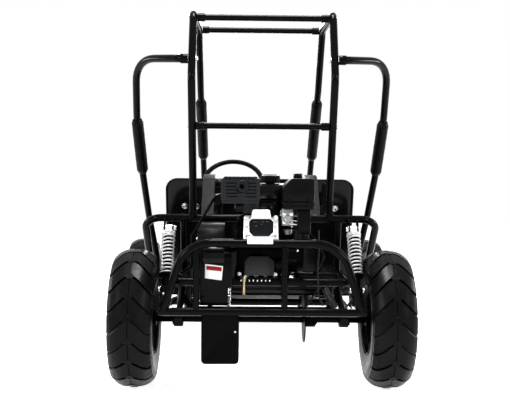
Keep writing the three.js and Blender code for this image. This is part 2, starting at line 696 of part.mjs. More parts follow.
function seatShell() {
  const outline = roundedRect(-seat.halfWidth, seat.halfWidth, 0, backLength,
    seat.cushionMargin, seat.cornerRadius);
  const back = slabY(outline, 0, seat.shellWall, 4);
  const recess = roundedRect(
    seat.cushionMargin * 2 - seat.halfWidth, seat.halfWidth - seat.cushionMargin * 2,
    seat.cushionMargin * 3, backLength - seat.cushionMargin * 3, seat.cushionMargin, seat.cornerRadius / 2,
  );
  const hollowed = cut(back, slabY(recess, -overrun, seat.shellWall / 2, 3));
  const base = box(
    -seat.halfWidth, seat.halfWidth, seat.backLowY, seat.baseFront, seat.baseZ, seat.baseZ + seat.baseWall,
  );
  const knee = box(
    -seat.halfWidth, seat.halfWidth, seat.backLowY, seat.backLowY + seat.shellWall,
    seat.baseZ, seat.backLowZ + seat.cushionMargin,
  );
  return join(leanBack(hollowed), base, knee);
}

// A padded block: crowned face, sides drawn in between the corners, and sewn channels across it
function cushion(width, depth, thick, channels) {
  const [columns, rows] = [6, 12];
  const shape = new THREE.BoxGeometry(width, depth, thick, columns, rows, 2);
  const position = shape.attributes.position;
  for (let i = 0; i < position.count; i += 1) {
    const u = position.getX(i) / width * 2;
    const v = position.getY(i) / depth * 2;
    const w = position.getZ(i) / thick * 2;
    const swell = (1 - u ** 4) * (1 - v ** 4);
    const groove = Math.max(0, Math.cos((v + 1) / 2 * channels * 2 * Math.PI)) ** 6 * (1 - v ** 8);
    const lift = w > 0 ? w * (seat.crown * (swell - 1) - seat.channelDepth * groove) : 0;
    position.setZ(i, position.getZ(i) + lift);
    position.setX(i, position.getX(i) - u * seat.pull * (1 - v ** 2) * Math.abs(u) ** 3);
    position.setY(i, position.getY(i) - v * seat.pull * (1 - u ** 2) * Math.abs(v) ** 3);
  }
  return solidOf(shape);
}

function backCushion() {
  const width = 2 * (seat.halfWidth - seat.cushionMargin);
  const length = backLength - seat.baseThick - 2 * seat.cushionMargin;
  const block = cushion(width, length, seat.backThick, 4);
  const stand = new THREE.Matrix4().makeRotationX(Math.PI / 2);
  const upright = block.transform(stand.elements);
  const moved = upright.translate([
    0, seat.shellWall + fit + seat.backThick / 2, backLength - seat.cushionMargin - length / 2,
  ]);
  return leanBack(moved);
}

function baseCushion() {
  const rear = seat.backLowY + seat.shellWall + fit;
  const depth = seat.baseFront - rear;
  const width = 2 * (seat.halfWidth - seat.cushionMargin);
  return cushion(width, depth, seat.baseThick, 3).translate([
    0, rear + depth / 2, seat.baseZ + seat.baseWall + fit + seat.baseThick / 2,
  ]);
}

// Shoulder belt: from its foot on the shock bar, over the top of the seat back
function beltStrap(side) {
  const top = seat.backTopZ + 2 * belt.wall;
  const footZ = shockBar.height + fit;
  const outline = [
    p2(belt.anchorY, footZ), p2(belt.anchorY + belt.anchorLength, footZ),
    p2(seat.backTopY - seat.cornerRadius, top - seat.cushionMargin), p2(seat.backTopY, top),
    p2(seat.backTopY + seat.shellWall, top), p2(seat.backTopY + 2 * seat.shellWall, top + belt.wall),
    p2(seat.backTopY + 2 * seat.shellWall, top + 2 * belt.wall),
    p2(seat.backTopY - belt.wall, top + 2 * belt.wall),
    p2(seat.backTopY - seat.cornerRadius - belt.wall, top - seat.cushionMargin + 2 * belt.wall),
    p2(belt.anchorY + belt.anchorLength - belt.wall, footZ + 2 * belt.wall),
    p2(belt.anchorY, footZ + 2 * belt.wall),
  ];
  const x = side * belt.x;
  return slabX(outline, x - belt.width / 2, x + belt.width / 2);
}

// Engine
function tilted(solid) {
  const turn = new THREE.Matrix4().makeRotationX(THREE.MathUtils.degToRad(-engine.tilt));
  turn.setPosition(0, engine.headY, engine.headZ);
  return solid.transform(turn.elements);
}

function engineBlock() {
  const bottom = engine.plateTop + fit;
  const outline = roundedRect(engine.rear, engine.front, bottom, engine.top, engine.lowRound,
    engine.topRound);
  const crankcase = slabX(outline, -engine.halfWidth, engine.halfWidth, 3);
  const reach = engine.crankY - engine.headY;
  const half = engine.cylinderHalf;
  const barrel = tilted(box(engine.cylinderLeft, engine.cylinderRight, fit, reach, -half, half));
  const fin = (y) => tilted(box(
    engine.cylinderLeft - engine.finReach, engine.cylinderRight + engine.finReach,
    y, y + engine.finWall, -half - engine.finReach, half + engine.finReach,
  ));
  const fins = [];
  for (let y = engine.finPitch; y < reach / 2; y += engine.finPitch) fins.push(fin(y));
  const port = box(engine.cylinderLeft, muffler.right, muffler.neckRear, muffler.neckFront,
    engine.headZ, muffler.neckBottom - fit);
  const recoil = drumX(0, engine.recoilRight, engine.crankY, engine.crankZ, engine.recoilRadius, 14);
  const nose = drumX(drive.coverInnerX + fit, 0, engine.crankY, engine.crankZ, 2 * drive.shaftRadius, 10);
  const bore = boreX(drive.coverInnerX - overrun, drive.coverInnerX + 4 * drive.shaftRadius,
    engine.crankY, engine.crankZ, drive.shaftRadius);
  return cut(join(crankcase, barrel, fins, port, recoil, nose), bore);
}

function valveCoverSolid() {
  const { wide, height, depth, plateWall, round, domeHalfWidth, domeHalfHeight, tabHalfWidth } = valveCover;
  const plate = roundedRect(-wide / 2, wide / 2, -height / 2, height / 2, round);
  const dome = roundedRect(-domeHalfWidth, domeHalfWidth, -domeHalfHeight, domeHalfHeight, round);
  const lip = roundedRect(-tabHalfWidth, tabHalfWidth, -height / 2 - valveCover.tab, -valveCover.tabTop,
    valveCover.tabRound);
  const flat = join(
    slabY(plate, -plateWall, 0, 3), slabY(dome, -depth, -plateWall / 2, 3),
    slabY(lip, -depth, valveCover.tabWall - depth, 2),
  );
  const middle = (engine.cylinderLeft + engine.cylinderRight) / 2;
  return tilted(flat.translate([middle, 0, 0]));
}

function mufflerSolid() {
  const outline = [
    p2(muffler.left, muffler.bottom), p2(muffler.right, muffler.bottom),
    p2(muffler.right, muffler.top - muffler.chamfer), p2(muffler.right - muffler.chamfer, muffler.top),
    p2(muffler.left + muffler.chamfer, muffler.top), p2(muffler.left, muffler.top - muffler.chamfer),
  ];
  const body = slabY(outline, muffler.rear, muffler.front);
  const middle = (muffler.left + muffler.right) / 2;
  const height = muffler.bottom + (muffler.top - muffler.bottom) * muffler.outletShare;
  const reach = (muffler.rear + muffler.front) / 2;
  const outlet = drum(at(middle, muffler.rear - bolt.head, height), at(middle, reach, height),
    muffler.outletRadius);
  const bore = drum(at(middle, muffler.rear - 2 * bolt.head, height), at(middle, reach, height),
    muffler.boreRadius, 8);
  const neck = box(
    engine.cylinderLeft, muffler.right, muffler.neckRear, muffler.neckFront,
    muffler.neckBottom, muffler.bottom + overrun,
  );
  return cut(join(body, outlet, neck), bore);
}

function fuelTank() {
  const outline = roundedRect(tank.left, tank.right, tank.rear, tank.front, tank.round);
  const low = slabZ(outline, tank.bottom + tank.round / 2, tank.top - tank.round, 3);
  const upper = roundedRect(
    tank.left + tank.round / 2, tank.right - tank.round / 2, tank.rear + tank.round / 2,
    tank.front - tank.round / 2, tank.round,
  );
  const neckAt = (z) => at(fuelCap.x, fuelCap.y, z);
  const neck = drum(neckAt(tank.top - overrun), neckAt(tank.top + overrun), tank.neckRadius);
  const feet = box(tank.left / 2, tank.right / 2, tank.rear + tank.round, engine.front - tank.round * 2,
    engine.top + fit, tank.bottom + tank.round);
  return join(low, slabZ(upper, tank.top - tank.round - fit, tank.top, 3), neck, feet);
}

function fuelCapSolid() {
  const base = tank.top + overrun + fit;
  const top = base + fuelCap.height;
  const cap = drum(at(fuelCap.x, fuelCap.y, base), at(fuelCap.x, fuelCap.y, top), fuelCap.radius, 18);
  const flutes = [];
  for (let i = 0; i < fuelCap.flutes; i += 1) {
    const angle = 2 * Math.PI * i / fuelCap.flutes;
    const x = fuelCap.x + fuelCap.radius * Math.cos(angle);
    const y = fuelCap.y + fuelCap.radius * Math.sin(angle);
    flutes.push(drum(at(x, y, base + overrun), at(x, y, top + overrun), overrun, 4));
  }
  return cut(cap, ...flutes);
}

function airCleanerSolid() {
  const outline = [
    p2(airCleaner.left, airCleaner.bottom), p2(airCleaner.right, airCleaner.bottom),
    p2(airCleaner.right, airCleaner.top), p2(airCleaner.left + airCleaner.chamfer, airCleaner.top),
    p2(airCleaner.left, airCleaner.top - airCleaner.chamfer),
  ];
  const body = slabY(outline, airCleaner.rear, airCleaner.front);
  const middle = (airCleaner.left + airCleaner.right) / 2;
  const depth = (airCleaner.rear + airCleaner.front) / 2;
  const knob = drum(at(middle, depth, airCleaner.top - overrun),
    at(middle, depth, airCleaner.top + 2 * bolt.head), 2 * bolt.head, 12);
  return join(body, knob);
}

function carburettorSolid() {
  const top = airCleaner.bottom - fit;
  const front = engine.rear - fit;
  const middle = (carburettor.rear + front) / 2;
  const left = engine.cylinderRight + engine.finReach + fit;
  const body = box(left, carburettor.right, carburettor.rear, front, carburettor.bottom, top);
  const bowlX = (left + carburettor.right) / 2;
  const bowl = drum(at(bowlX, middle, carburettor.bottom - carburettor.bowl),
    at(bowlX, middle, carburettor.bottom + overrun), carburettor.bowl);
  const ductY = airCleaner.rear + 2 * carburettor.duct;
  const duct = drum(at(carburettor.ductX, ductY, carburettor.bottom - carburettor.ductDrop),
    at(carburettor.ductX, ductY, top), carburettor.duct);
  const link = box(carburettor.right - overrun, carburettor.ductX, carburettor.rear + bolt.radius,
    carburettor.rear + 3 * bolt.radius, top - 5 * bolt.radius, top - 3 * bolt.radius);
  return join(body, bowl, duct, link);
}

function recoilHandleSolid() {
  const x = engine.recoilRight + fit + recoilHandle.radius;
  const half = recoilHandle.length / 2;
  return drum(at(x, recoilHandle.y - half, recoilHandle.z), at(x, recoilHandle.y + half, recoilHandle.z),
    recoilHandle.radius, 12);
}

// Drive
const crankCentre = p2(engine.crankY, engine.crankZ);
const jackCentre = p2(pivot.y, pivot.z);
const axleCentre = p2(0, rearWheel.radius);

function pulley(centre, core, flange, end) {
  const half = drive.beltWidth / 2 + fit;
  const spool = drumX(drive.pulleyX - half, drive.pulleyX + half, centre.x, centre.y, core, drive.facets);
  const cheek = (x) => drumX(x, x + drive.flangeWall, centre.x, centre.y, flange, drive.facets);
  const start = drive.pulleyX - half - 2 * drive.flangeWall;
  const shaft = drumX(start, end, centre.x, centre.y, drive.shaftRadius, 12);
  return join(spool, cheek(drive.pulleyX - half - drive.flangeWall), cheek(drive.pulleyX + half), shaft);
}

const drivePulley = () => pulley(
  crankCentre, drive.crankCore, drive.crankFlange, drive.coverInnerX + drive.coverWall,
);

const driveBelt = () => loopX(
  crankCentre, drive.crankCore + fit, jackCentre, drive.drivenCore + fit, drive.beltWall,
  drive.pulleyX - drive.beltWidth / 2, drive.pulleyX + drive.beltWidth / 2,
);

const driveChain = () => loopX(
  axleCentre, drive.axleSprocket + fit, jackCentre, drive.jackSprocket + fit, drive.chainWall,
  drive.sprocketX - drive.chainWidth / 2, drive.sprocketX + drive.chainWidth / 2,
);

function jackshaft() {
  const sprocket = drumX(
    drive.sprocketX - drive.sprocketWall / 2, drive.sprocketX + drive.sprocketWall / 2,
    pivot.y, pivot.z, drive.jackSprocket, drive.facets,
  );
  const driven = pulley(jackCentre, drive.drivenCore, drive.driven, engine.plateLeft + 2 * engine.plateWall);
  return join(driven, sprocket);
}

function cvtCover() {
  const outer = drive.driven + drive.coverMargin;
  const inner = outer - drive.coverWall;
  const shell = slabX(aroundTwo(crankCentre, outer, jackCentre, outer), drive.coverOuterX, drive.coverInnerX);
  const hollow = slabX(aroundTwo(crankCentre, inner, jackCentre, inner),
    drive.coverOuterX + drive.coverWall, drive.coverInnerX - drive.coverWall);
  const bore = (centre) => boreX(drive.coverInnerX - 2 * drive.coverWall, drive.coverInnerX + overrun,
    centre.x, centre.y, drive.shaftRadius);
  return cut(shell, hollow, bore(crankCentre), bore(jackCentre));
}

function chainGuard() {
  const bend = (inset) => {
    const round = guard.round - inset;
    const shape = new THREE.Shape();
    shape.moveTo(guard.rear + inset, guard.bottomZ - inset);
    shape.lineTo(guard.rear + inset, guard.topZ - guard.round);
    shape.absarc(guard.rear + guard.round, guard.topZ - guard.round, round, Math.PI, Math.PI / 2, true);
    shape.lineTo(guard.front + inset, guard.topZ - inset);
    shape.lineTo(guard.front + inset, guard.bottomZ + guard.round);
    shape.lineTo(guard.front - guard.round / 2, guard.bottomZ - inset);
    return shape;
  };
  const skin = cut(
    slabX(bend(0), guard.left, guard.right),
    slabX(bend(guard.wall), guard.left + guard.wall, guard.right + overrun),
  );
  const window = box(
    guard.right - 4 * guard.wall, guard.right + overrun, guard.rear - overrun,
    guard.rear + guard.wall + overrun, guard.bottomZ - overrun, guard.bottomZ + guard.round,
  );
  const lug = box(guardPostX - bolt.head, guard.left + guard.wall, bumper.y + bumperPost.tabReach + fit,
    guard.rear + 3 * guard.wall, bumperPost.tabLow, bumperPost.tabHigh);
  return cut(join(skin, lug), window);
}

function mudflapSolid() {
  const outline = roundedRect(mudflap.left, mudflap.right, mudflap.bottomZ, mudflap.topZ, mudflap.round, fit);
  const rearFace = bumper.y + tube.radius + fit;
  return slabY(outline, rearFace, rearFace + mudflap.wall, 4);
}

// Rear suspension
function swingArm() {
  const beam = (side) => bent(mirrorPath(side, [
    [pivot.halfSpan, pivot.y, pivot.z], [pivot.halfSpan, 0, rearWheel.radius],
  ]), arm.radius);
  const lug = (side) => drumX(
    side * pivot.halfSpan - pivot.lugWidth / 2, side * pivot.halfSpan + pivot.lugWidth / 2,
    pivot.y, pivot.z, pivot.lugRadius, 10,
  );
  const housing = (side) => drumX(
    side * pivot.halfSpan - arm.housingWidth / 2, side * pivot.halfSpan + arm.housingWidth / 2,
    0, rearWheel.radius, arm.housingRadius, 12,
  );
  const beamZ = rearWheel.radius + (pivot.z - rearWheel.radius) * arm.crossY / pivot.y;
  const across = bent([
    at(-pivot.halfSpan, arm.crossY, beamZ), at(-arm.crossHalf, arm.crossY, arm.crossZ),
    at(arm.crossHalf, arm.crossY, arm.crossZ), at(pivot.halfSpan, arm.crossY, beamZ),
  ], arm.radius, tube.bend / 2);
  const whole = join(both(beam), both(lug), both(housing), across, both(lowerEar), caliperTab());
  const half = pivot.halfSpan + pivot.lugWidth;
  return cut(whole,
    boreX(-half, half, pivot.y, pivot.z, pivot.pinRadius),
    boreX(-half, half, 0, rearWheel.radius, axle.radius));
}

function lowerEar(side) {
  const inner = shock.eyeWidth / 2 + fit;
  const shelfZ = rearWheel.radius + axle.radius + 2 * bolt.radius;
  const [near, far] = [pivot.halfSpan, shock.x + inner + shock.plate].map((x) => side * x);
  const shelf = box(near, far, shock.lowY - 2 * shock.eyeRadius,
    shock.lowY + 2 * shock.eyeRadius, shelfZ, shelfZ + bolt.radius);
  const outline = roundedRect(shock.lowY - shock.eyeRadius, shock.lowY + shock.eyeRadius, shelfZ,
    shock.lowZ + shock.eyeRadius, shock.plate / 2, bolt.radius);
  const centre = side * shock.x;
  const plate = (x) => slabX(outline, x, x + shock.plate, 1);
  const pin = drumX(centre - inner - shock.plate, centre + inner + shock.plate,
    shock.lowY, shock.lowZ, shock.pinRadius, 8);
  return join(shelf, plate(centre - inner - shock.plate), plate(centre + inner), pin);
}

function caliperTab() {
  return box(disc.x - 3 * bolt.head, disc.x - 2 * bolt.head, disc.radius - 2 * bolt.head, arm.crossY,
    arm.crossZ - bolt.head, arm.crossZ + bolt.head);
}

function rearAxle() {
  const centre = [0, rearWheel.radius];
  const shaft = drumX(-axle.halfLength, axle.halfLength, ...centre, axle.radius, 10);
  const face = hubFace(rearWheel);
  const outer = face - fit;
  const hub = (side) => join(
    drumX(side * axle.hubInner, side * outer, ...centre, axle.hubRadius, 10),
    drumX(side * (outer - axle.flangeWall), side * outer, ...centre, rim.hubRadius, 12),
  );
  const sprocket = join(
    drumX(drive.sprocketX - drive.sprocketWall / 2, drive.sprocketX + drive.sprocketWall / 2,
      ...centre, drive.axleSprocket, 24),
    drumX(drive.sprocketX - disc.hubLength / 2, drive.sprocketX + disc.hubLength / 2,
      ...centre, disc.hubRadius, 10),
  );
  const rotor = join(
    drumX(disc.x - disc.wall / 2, disc.x + disc.wall / 2, ...centre, disc.radius, 20),
    drumX(disc.x - disc.wall / 2, disc.x + disc.hubLength, ...centre, disc.hubRadius, 10),
  );
  return join(shaft, both(hub), sprocket, rotor);
}

const hubFace = (wheel) => wheel.halfTrack - rim.dish;

function brakeCaliper() {
  const left = disc.x - 2 * bolt.head + fit;
  const body = box(left, disc.x + 2 * bolt.head, disc.radius - 4 * bolt.head, disc.radius + 3 * bolt.head,
    arm.crossZ - 3 * bolt.head, arm.crossZ + 3 * bolt.head);
  const slot = drumX(disc.x - disc.wall, disc.x + disc.wall, 0, rearWheel.radius,
    disc.radius + bolt.head / 2, 20);
  return cut(body, slot);
}

// Wheels are turned about the X axis around their own middle
function rimSolid(side, bore) {
  const half = rim.width / 2;
  const { radius, wall, flange } = rim;
  const [inner, outer] = [-side * rim.dish, side * (rim.discWall - rim.dish)].sort((a, b) => a - b);
  return turnedX([
    [-half, radius + flange], [-half, radius - wall], [inner, radius - wall], [inner, bore + running],
    [outer, bore + running], [outer, radius - wall], [half, radius - wall], [half, radius + flange],
    [half - wall, radius + flange], [half - wall - flange, radius], [flange + wall - half, radius],
    [wall - half, radius + flange],
  ], rim.facets);
}

function tyreSolid({ radius, width }) {
  const half = width / 2;
  const bead = rim.width / 2 - rim.wall - fit;
  const beadRadius = rim.radius + rim.flange + fit;
  const bulge = radius * tyre.sidewallRadiusShare;
  const shoulder = radius - 2 * tyre.crown;
  const { wall, crown } = tyre;
  const outer = [
    [-bead, beadRadius], [-half, bulge], [crown - half, shoulder], [3 * crown - half, radius],
    [half - 3 * crown, radius], [half - crown, shoulder], [half, bulge], [bead, beadRadius],
  ];
  const inner = [
    [bead - wall, beadRadius], [half - 3 * crown, radius - wall],
    [3 * crown - half, radius - wall], [wall - bead, beadRadius],
  ];
  return turnedX([...outer, ...inner], rim.facets);
}

// Shock pieces hang from the upper eye along their own Z axis
const shockSpan = Math.hypot(shock.topY - shock.lowY, shock.topZ - shock.lowZ);
const along = (z0, z1, radius, count) => drum(at(0, 0, z0), at(0, 0, z1), radius, count);

function shockBody() {
  const half = shock.eyeWidth / 2;
  const eye = drumX(-half, half, 0, 0, shock.eyeRadius, 12);
  const seatTop = -shock.seatDrop;
  const whole = join(
    eye, along(seatTop, 0, shock.neck, 10), along(seatTop - shock.seatWall, seatTop, shock.seatRadius, 14),
    along(-shock.bodyLength, seatTop, shock.bodyRadius, 10),
  );
  return cut(whole,
    boreX(-half - overrun, half + overrun, 0, 0, shock.pinRadius),
    along(-shock.bodyLength - overrun, -shock.boreTop, boreFor(shock.rodRadius), boreSides));
}

const springTop = -shock.seatDrop - shock.seatWall - fit;
const springLow = springTop - spring.length;

function shockRod() {
  const half = shock.eyeWidth / 2;
  const seatTop = springLow - fit;
  const whole = join(
    drumX(-half, half, 0, 0, shock.eyeRadius, 12).translate([0, 0, -shockSpan]),
    along(-shockSpan, seatTop, shock.neck, 10),
    along(seatTop - shock.seatWall, seatTop, shock.seatRadius, 14),
    along(seatTop, -shock.rodTop, shock.rodRadius, 10),
  );
  return cut(whole,
    boreX(-half - overrun, half + overrun, 0, -shockSpan, shock.pinRadius + shock.openClearance));
}

// One unbroken helix tube; its two ends run straight for one wire diameter, square to the seats
function springCoil() {
  const { wire, radius, turns, length, stepsPerTurn, sides: count } = spring;
  const steps = turns * stepsPerTurn;
  const rise = length - 4 * wire;
  const centres = [at(radius, 0, 0)];
  for (let i = 0; i <= steps; i += 1) {
    const angle = 2 * Math.PI * i / stepsPerTurn;
    centres.push(at(radius * Math.cos(angle), radius * Math.sin(angle), 2 * wire + rise * i / steps));
  }
  const lastAngle = 2 * Math.PI * turns;
  centres.push(at(radius * Math.cos(lastAngle), radius * Math.sin(lastAngle), length));
  const corners = [];
  const outwardAt = (i) => {
    const angle = 2 * Math.PI * Math.min(Math.max(i - 1, 0), steps) / stepsPerTurn;
    return at(Math.cos(angle), Math.sin(angle), 0);
  };
  centres.forEach((centre, i) => {
    const outward = outwardAt(i);
    const flat = i === 0 || i === centres.length - 1;
    const second = flat ? outward.clone().cross(Z).negate() : Z.clone();
    for (let k = 0; k < count; k += 1) {
      const angle = 2 * Math.PI * k / count;
      corners.push(...centre.clone().addScaledVector(outward, wire * Math.cos(angle))
        .addScaledVector(second, wire * Math.sin(angle)).toArray());
    }
  });
  const faces = [];
  for (let i = 0; i < centres.length - 1; i += 1) {
    for (let k = 0; k < count; k += 1) {
      const [a, b] = [i * count + k, i * count + (k + 1) % count];
      faces.push(a, b, a + count, b, b + count, a + count);
    }
  }
  for (let k = 1; k < count - 1; k += 1) {
    const last = (centres.length - 1) * count;
    faces.push(0, k + 1, k, last, last + k, last + k + 1);
  }
  const geometry = new THREE.BufferGeometry();
  geometry.setAttribute('position', new THREE.BufferAttribute(new Float32Array(corners), 3));
  geometry.setIndex(faces);
  const gap = centres[1].distanceTo(centres[1 + stepsPerTurn]) - 2 * wire;
  console.log(`spring: least gap between turns ${gap.toFixed(2)} mm`);
  return solidOf(geometry).translate([0, 0, springLow]);
}

// Front end
function knuckle(side) {
  const top = frontWheel.radius + kingpin.bossHeight / 2 + fit;
  const low = frontWheel.radius - kingpin.bossHeight / 2 - fit;
  const webX = kingpin.x + kingpin.bossRadius + kingpin.webGap;
  const [rear, front] = [wheelbase - kingpin.bossRadius, wheelbase + kingpin.bossRadius];
  const flat = (z) => box(side * (kingpin.x - kingpin.bossRadius), side * (webX + kingpin.plate),
    rear, front, z, z + kingpin.plate);
  const web = box(side * webX, side * (webX + kingpin.plate), rear, front,
    low - kingpin.plate, top + kingpin.plate);
  const pin = drum(at(side * kingpin.x, wheelbase, low - kingpin.plate),
    at(side * kingpin.x, wheelbase, top + kingpin.plate), kingpin.radius, 8);
  const end = frontWheel.halfTrack + rim.width / 4;
  const stub = drumX(side * webX, side * end, wheelbase, frontWheel.radius, kingpin.axle, 10);
  const steerArm = box(side * kingpin.x - kingpin.radius, side * kingpin.x + kingpin.radius, wheelbase,
    wheelbase + steering.knuckleArm + kingpin.radius, top, top + kingpin.plate);
  const spacer = drumX(side * webX, side * (hubFace(frontWheel) - fit), wheelbase, frontWheel.radius,
    kingpin.spacer, 10);
  return join(flat(low - kingpin.plate), flat(top), web, pin, stub, steerArm, spacer);
}

// The arm stands up from the shaft's end, so that the front wheels turn the way the steering wheel does
const armUp = at(0, -shaftHeading.z, shaftHeading.y);
const armFoot = shaftAt(1).addScaledVector(shaftHeading, -brace.radius);
const armAt = (reach) => armFoot.clone().addScaledVector(armUp, reach);

// A tie rod lies on the knuckle's arm and ends above the arm of the steering shaft
function tieRod(side) {
  const inner = armAt(steering.arm + steering.rodGap + steering.rodRadius);
  const outerY = wheelbase + steering.knuckleArm;
  const outerZ = frontWheel.radius + kingpin.bossHeight / 2 + kingpin.plate + 2 * fit + steering.rodRadius;
  const flatEnd = 2 * kingpin.bossRadius;
  return bent([
    at(steering.x + side * steering.rodEnd, inner.y, inner.z),
    at(steering.x + side * (steering.rodEnd + flatEnd), inner.y, inner.z),
    at(side * (kingpin.x - flatEnd), outerY, outerZ), at(side * kingpin.x, outerY, outerZ),
  ], steering.rodRadius, tube.bend, 6);
}

function steeringShaft() {
  const start = shaftAt(0).addScaledVector(shaftHeading, steering.gripRadius + fit);
  const shaft = drum(start, shaftAt(1), steering.shaftRadius, 8);
  return join(shaft, bent([armAt(0), armAt(steering.arm)], brace.radius, tube.bend, 8));
}

// The steering wheel is built flat about its own Z axis and then tilted onto the shaft
function steeringWheel() {
  const section = [];
  for (let i = 0; i <= 6; i += 1) {
    const angle = 2 * Math.PI * i / 6;
    section.push(p2(
      steering.rimRadius + steering.gripRadius * Math.cos(angle), steering.gripRadius * Math.sin(angle),
    ));
  }
  const ring = solidOf(new THREE.LatheGeometry(section, 16).rotateX(Math.PI / 2));
  const hub = drum(at(0, 0, -steering.gripRadius), at(0, 0, steering.gripRadius), steering.hubRadius, 12);
  const spoke = (angle) => {
    const shape = new THREE.BoxGeometry(steering.rimRadius, steering.spokeWidth, steering.gripRadius / 2);
    return solidOf(shape.translate(steering.rimRadius / 2, 0, 0).rotateZ(angle));
  };
  const spokes = [0, Math.PI, -Math.PI / 2].map(spoke);
  return join(ring, hub, spokes);
}

function pedalSolid(x) {
  const bore = boreX(x - pedal.width, x + pedal.width, pedal.y, pedal.z, pedal.barRadius);
  const barrelX = x + 2 * pedal.barRadius;
  const barrel = drumX(barrelX, barrelX + 2 * pedal.barRadius, pedal.y, pedal.z, 2 * pedal.barRadius, 10);
  const stem = box(barrelX, barrelX + 2 * pedal.barRadius,
    pedal.y - pedal.barRadius, pedal.y + pedal.barRadius, pedal.z, pedal.z + pedal.height);
  const plate = box(x - pedal.width / 2, x + pedal.width / 2, pedal.y - 2 * pedal.barRadius,
    pedal.y - pedal.barRadius, pedal.z + pedal.height * pedal.plateShare, pedal.z + pedal.height);
  return cut(join(barrel, stem, plate), bore);
}

// Fuel hose: from the tank's left side, behind the belt cover and down to the rear rail
function fuelHose() {
  const outside = drive.coverOuterX - 3 * hose.radius;
  const tankY = tank.rear + 2 * tank.round;
  const tankZ = tank.bottom + 3 * tank.round;
  const besideX = muffler.left - 3 * hose.radius;
  const downY = muffler.front - 4 * hose.radius;
  return bent([
    at(tank.left - fit, tankY, tankZ), at(besideX, tankY, tankZ), at(besideX - hose.radius, downY, tankZ),
    at(outside, downY, engine.crankZ + engine.cylinderHalf),
    at(outside, downY, rearRail.height + 8 * hose.radius),
    at(-rearRail.halfWidth, muffler.front, rearRail.height + tube.radius + hose.radius + fit),
  ], hose.radius, 4 * hose.radius);
}

// Assembly
const kart = new THREE.Group();

function section(...pieces) {
  const group = new THREE.Group();
  group.add(...pieces.flat(2));
  kart.add(group);
  return group;
}

section(
  piece('main_frame', mainFrame(), finish.frame),
  piece('floor_pan', floorPan(), finish.frame),
  piece('rear_bumper', rearBumper(), finish.frame),
);

section(
  sides.map(([name, side]) => piece(`cage_side_${name}`, cageSide(side), finish.frame)),
  piece('cage_bar_rear_top', cageBar(cage.rearY, cage.topZ - crossBar.sleeve), finish.frame),
  piece('cage_bar_front_top', cageBar(cage.frontY, cage.topZ), finish.frame),
  piece('cage_bar_middle', cageBar(backYAt(cage.midZ), cage.midZ), finish.frame),
  sides.map(([name, side]) => piece(`side_bar_${name}`, sideBarSolid(side), finish.frame)),
  sides.map(([name, side]) => placedPad(`pad_side_${name}`, sidePad(side))),
  sides.map(([name, side]) => placedPad(`pad_pillar_${name}`, pillarPadOf(side))),
);

section(
  piece('seat_shell', seatShell(), finish.plastic),
  piece('seat_back_cushion', backCushion(), finish.vinyl),
  piece('seat_base_cushion', baseCushion(), finish.vinyl),
  sides.map(([name, side]) => piece(`belt_${name}`, beltStrap(side), finish.webbing)),
);

section(
  piece('engine_block', engineBlock(), finish.castGrey),
  piece('valve_cover', valveCoverSolid(), finish.aluminium),
  piece('muffler', mufflerSolid(), finish.darkSteel),
  piece('fuel_tank', fuelTank(), finish.plastic),
  piece('fuel_cap', fuelCapSolid(), finish.plastic),
  piece('air_cleaner', airCleanerSolid(), finish.plastic),
  piece('carburettor', carburettorSolid(), finish.aluminium),
  piece('recoil_handle', recoilHandleSolid(), finish.plastic),
);

section(
  piece('drive_pulley', drivePulley(), finish.steel),
  piece('drive_belt', driveBelt(), finish.rubber),
  piece('jackshaft', jackshaft(), finish.steel),
  piece('cvt_cover', cvtCover(), finish.castGrey),
  piece('chain', driveChain(), finish.steel),
  piece('chain_guard', chainGuard(), finish.frame),
  piece('mudflap', mudflapSolid(), finish.rubber),
);

function wheelPiece(name, solid, material, side, wheel, y) {
  const node = piece(name, solid, material);
  node.position.set(side * wheel.halfTrack, y, wheel.radius);
  return node;
}

section(
  piece('swing_arm', swingArm(), finish.frame),
  piece('rear_axle', rearAxle(), finish.steel),
  piece('brake_caliper', brakeCaliper(), finish.darkSteel),
  piece('fuel_hose', fuelHose(), finish.rubber),
  sides.map(([name, side]) => [
    wheelPiece(`rear_rim_${name}`, rimSolid(side, axle.radius), finish.frame, side, rearWheel, 0),
    wheelPiece(`rear_tyre_${name}`, tyreSolid(rearWheel), finish.rubber, side, rearWheel, 0),
  ]),
);

sides.forEach(([name, side]) => {
  const unit = section(
    piece(`shock_body_${name}`, shockBody(), finish.darkSteel),
    piece(`shock_spring_${name}`, springCoil(), finish.springWhite),
    piece(`shock_rod_${name}`, shockRod(), finish.darkSteel),
  );
  unit.position.set(side * shock.x, shock.topY, shock.topZ);
  unit.rotation.x = -Math.atan2(shock.topY - shock.lowY, shock.topZ - shock.lowZ);
});

const wheelNode = piece('steering_wheel', steeringWheel(), finish.plastic);
wheelNode.position.copy(shaftAt(0));
wheelNode.rotation.x = THREE.MathUtils.degToRad(steering.tilt);

section(
  sides.map(([name, side]) => [
    piece(`knuckle_${name}`, knuckle(side), finish.darkSteel),
    wheelPiece(`front_rim_${name}`, rimSolid(side, kingpin.axle), finish.frame, side, frontWheel, wheelbase),
    wheelPiece(`front_tyre_${name}`, tyreSolid(frontWheel), finish.rubber, side, frontWheel, wheelbase),
    piece(`tie_rod_${name}`, tieRod(side), finish.steel),
  ]),
  piece('steering_shaft', steeringShaft(), finish.darkSteel),
  wheelNode,
  piece('brake_pedal', pedalSolid(pedal.brakeX), finish.darkSteel),
  piece('throttle_pedal', pedalSolid(pedal.throttleX), finish.darkSteel),
);

// The middle of the whole length comes to Y = 0
const reach = new THREE.Box3().setFromObject(kart);
kart.position.y = -(reach.min.y + reach.max.y) / 2;

export default kart;
